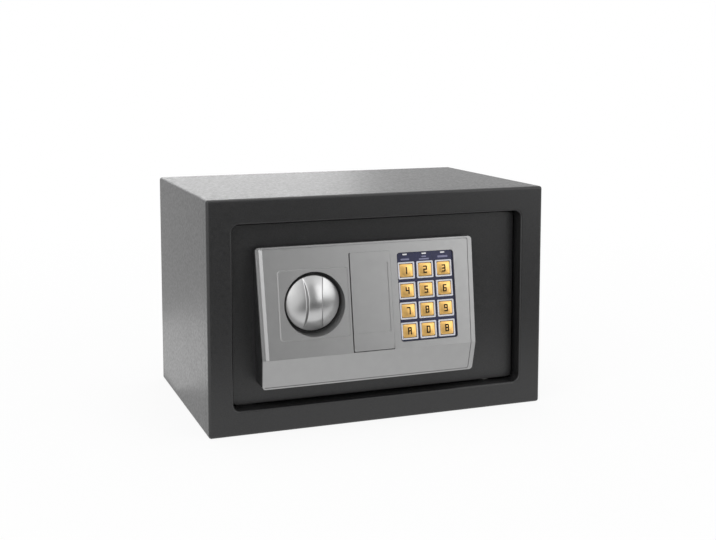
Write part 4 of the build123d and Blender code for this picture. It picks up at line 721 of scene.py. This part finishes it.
def seen_directly(tree):
    """1 for camera, glossy and transmission rays, 0 for the rest."""
    rays = tree.nodes.new("ShaderNodeLightPath")
    total = rays.outputs["Is Camera Ray"]
    for kind in ("Is Glossy Ray", "Is Transmission Ray"):
        add = tree.nodes.new("ShaderNodeMath")
        add.operation = "MAXIMUM"
        tree.links.new(total, add.inputs[0])
        tree.links.new(rays.outputs[kind], add.inputs[1])
        total = add.outputs[0]
    return total


def make_world():
    """White for what is seen or mirrored, a softer grey for what lights the object."""
    world = bpy.data.worlds.new("studio")
    bpy.context.scene.world = world
    world.use_nodes = True
    tree = world.node_tree
    tree.nodes.clear()
    out = tree.nodes.new("ShaderNodeOutputWorld")
    fill, white = (tree.nodes.new("ShaderNodeBackground") for _ in range(2))
    fill.inputs["Color"].default_value = (WORLD_FILL, WORLD_FILL, WORLD_FILL, 1.0)
    white.inputs["Color"].default_value = (1.0, 1.0, 1.0, 1.0)
    mix = tree.nodes.new("ShaderNodeMixShader")
    tree.links.new(seen_directly(tree), mix.inputs[0])
    tree.links.new(fill.outputs[0], mix.inputs[1])
    tree.links.new(white.outputs[0], mix.inputs[2])
    tree.links.new(mix.outputs[0], out.inputs["Surface"])


def floor_whiteness(tree):
    """Share of plain white in the floor: it leaves the shadow near the object and fades it out further."""
    place = tree.nodes.new("ShaderNodeTexCoord")
    reach = tree.nodes.new("ShaderNodeVectorMath")
    reach.operation = "LENGTH"
    tree.links.new(place.outputs["Object"], reach.inputs[0])
    share = tree.nodes.new("ShaderNodeMapRange")
    near, far = FLOOR_FADE
    for name, value in (("From Min", near), ("From Max", far), ("To Min", FLOOR_NEAR_WHITE), ("To Max", 1.0)):
        share.inputs[name].default_value = value
    tree.links.new(reach.outputs["Value"], share.inputs["Value"])
    return share.outputs["Result"]


def make_floor():
    corners = ((-1, -1), (1, -1), (1, 1), (-1, 1))
    verts = [(sx * FLOOR_HALF, sy * FLOOR_HALF, -FLOOR_DROP) for sx, sy in corners]
    mesh = bpy.data.meshes.new("floor")
    mesh.from_pydata(verts, [], [(0, 1, 2, 3)])
    floor = bpy.data.objects.new("floor", mesh)
    bpy.context.scene.collection.objects.link(floor)
    material = bpy.data.materials.new("floor_white")
    material.use_nodes = True
    tree = material.node_tree
    surface = tree.nodes["Principled BSDF"]
    surface.inputs["Base Color"].default_value = (1.0, 1.0, 1.0, 1.0)
    surface.inputs["Roughness"].default_value = FLOOR_ROUGHNESS
    surface.inputs["Specular IOR Level"].default_value = 0.0
    glow = tree.nodes.new("ShaderNodeEmission")
    share = tree.nodes.new("ShaderNodeMath")
    share.operation = "MULTIPLY"
    tree.links.new(seen_directly(tree), share.inputs[0])
    tree.links.new(floor_whiteness(tree), share.inputs[1])
    mix = tree.nodes.new("ShaderNodeMixShader")
    tree.links.new(share.outputs[0], mix.inputs[0])
    tree.links.new(surface.outputs[0], mix.inputs[1])
    tree.links.new(glow.outputs[0], mix.inputs[2])
    tree.links.new(mix.outputs[0], tree.nodes["Material Output"].inputs["Surface"])
    mesh.materials.append(material)


def make_mirror_card(name, corners, glow):
    """Card that is seen in reflections alone."""
    mesh = bpy.data.meshes.new(name)
    mesh.from_pydata(corners, [], [(0, 1, 2, 3)])
    card = bpy.data.objects.new(name, mesh)
    bpy.context.scene.collection.objects.link(card)
    material = bpy.data.materials.new(name)
    material.use_nodes = True
    tree = material.node_tree
    tree.nodes.remove(tree.nodes["Principled BSDF"])
    emission = tree.nodes.new("ShaderNodeEmission")
    emission.inputs["Strength"].default_value = glow
    tree.links.new(emission.outputs[0], tree.nodes["Material Output"].inputs["Surface"])
    mesh.materials.append(material)
    card.visible_camera = False
    card.visible_shadow = False
    card.visible_diffuse = False


def make_mirror_cards():
    """Unlit and lit parts of the room, which the panel, the knob and the cabinet's coat mirror."""
    name, (left, y), (right, _), height, glow = MIRROR_WALL
    make_mirror_card(name, ((left, y, 0.0), (right, y, 0.0), (right, y, height), (left, y, height)), glow)
    for name, corners, glow in MIRROR_FLOORS:
        make_mirror_card(name, [(x, y, CARD_LIFT) for x, y in corners], glow)


# ---------------------------------------------------------------- scene
REPLACED = {"knob"} | {f"key_{name}" for names in KEY_ROWS for name in names}

dress_nodes(REPLACED)
shorten_spring()
make_knob()
make_keys()
make_status_bars()
make_camera()
make_lamps()
make_world()
make_floor()
make_mirror_cards()
bpy.context.scene.view_settings.view_transform = "Standard"

bpy.context.view_layer.update()
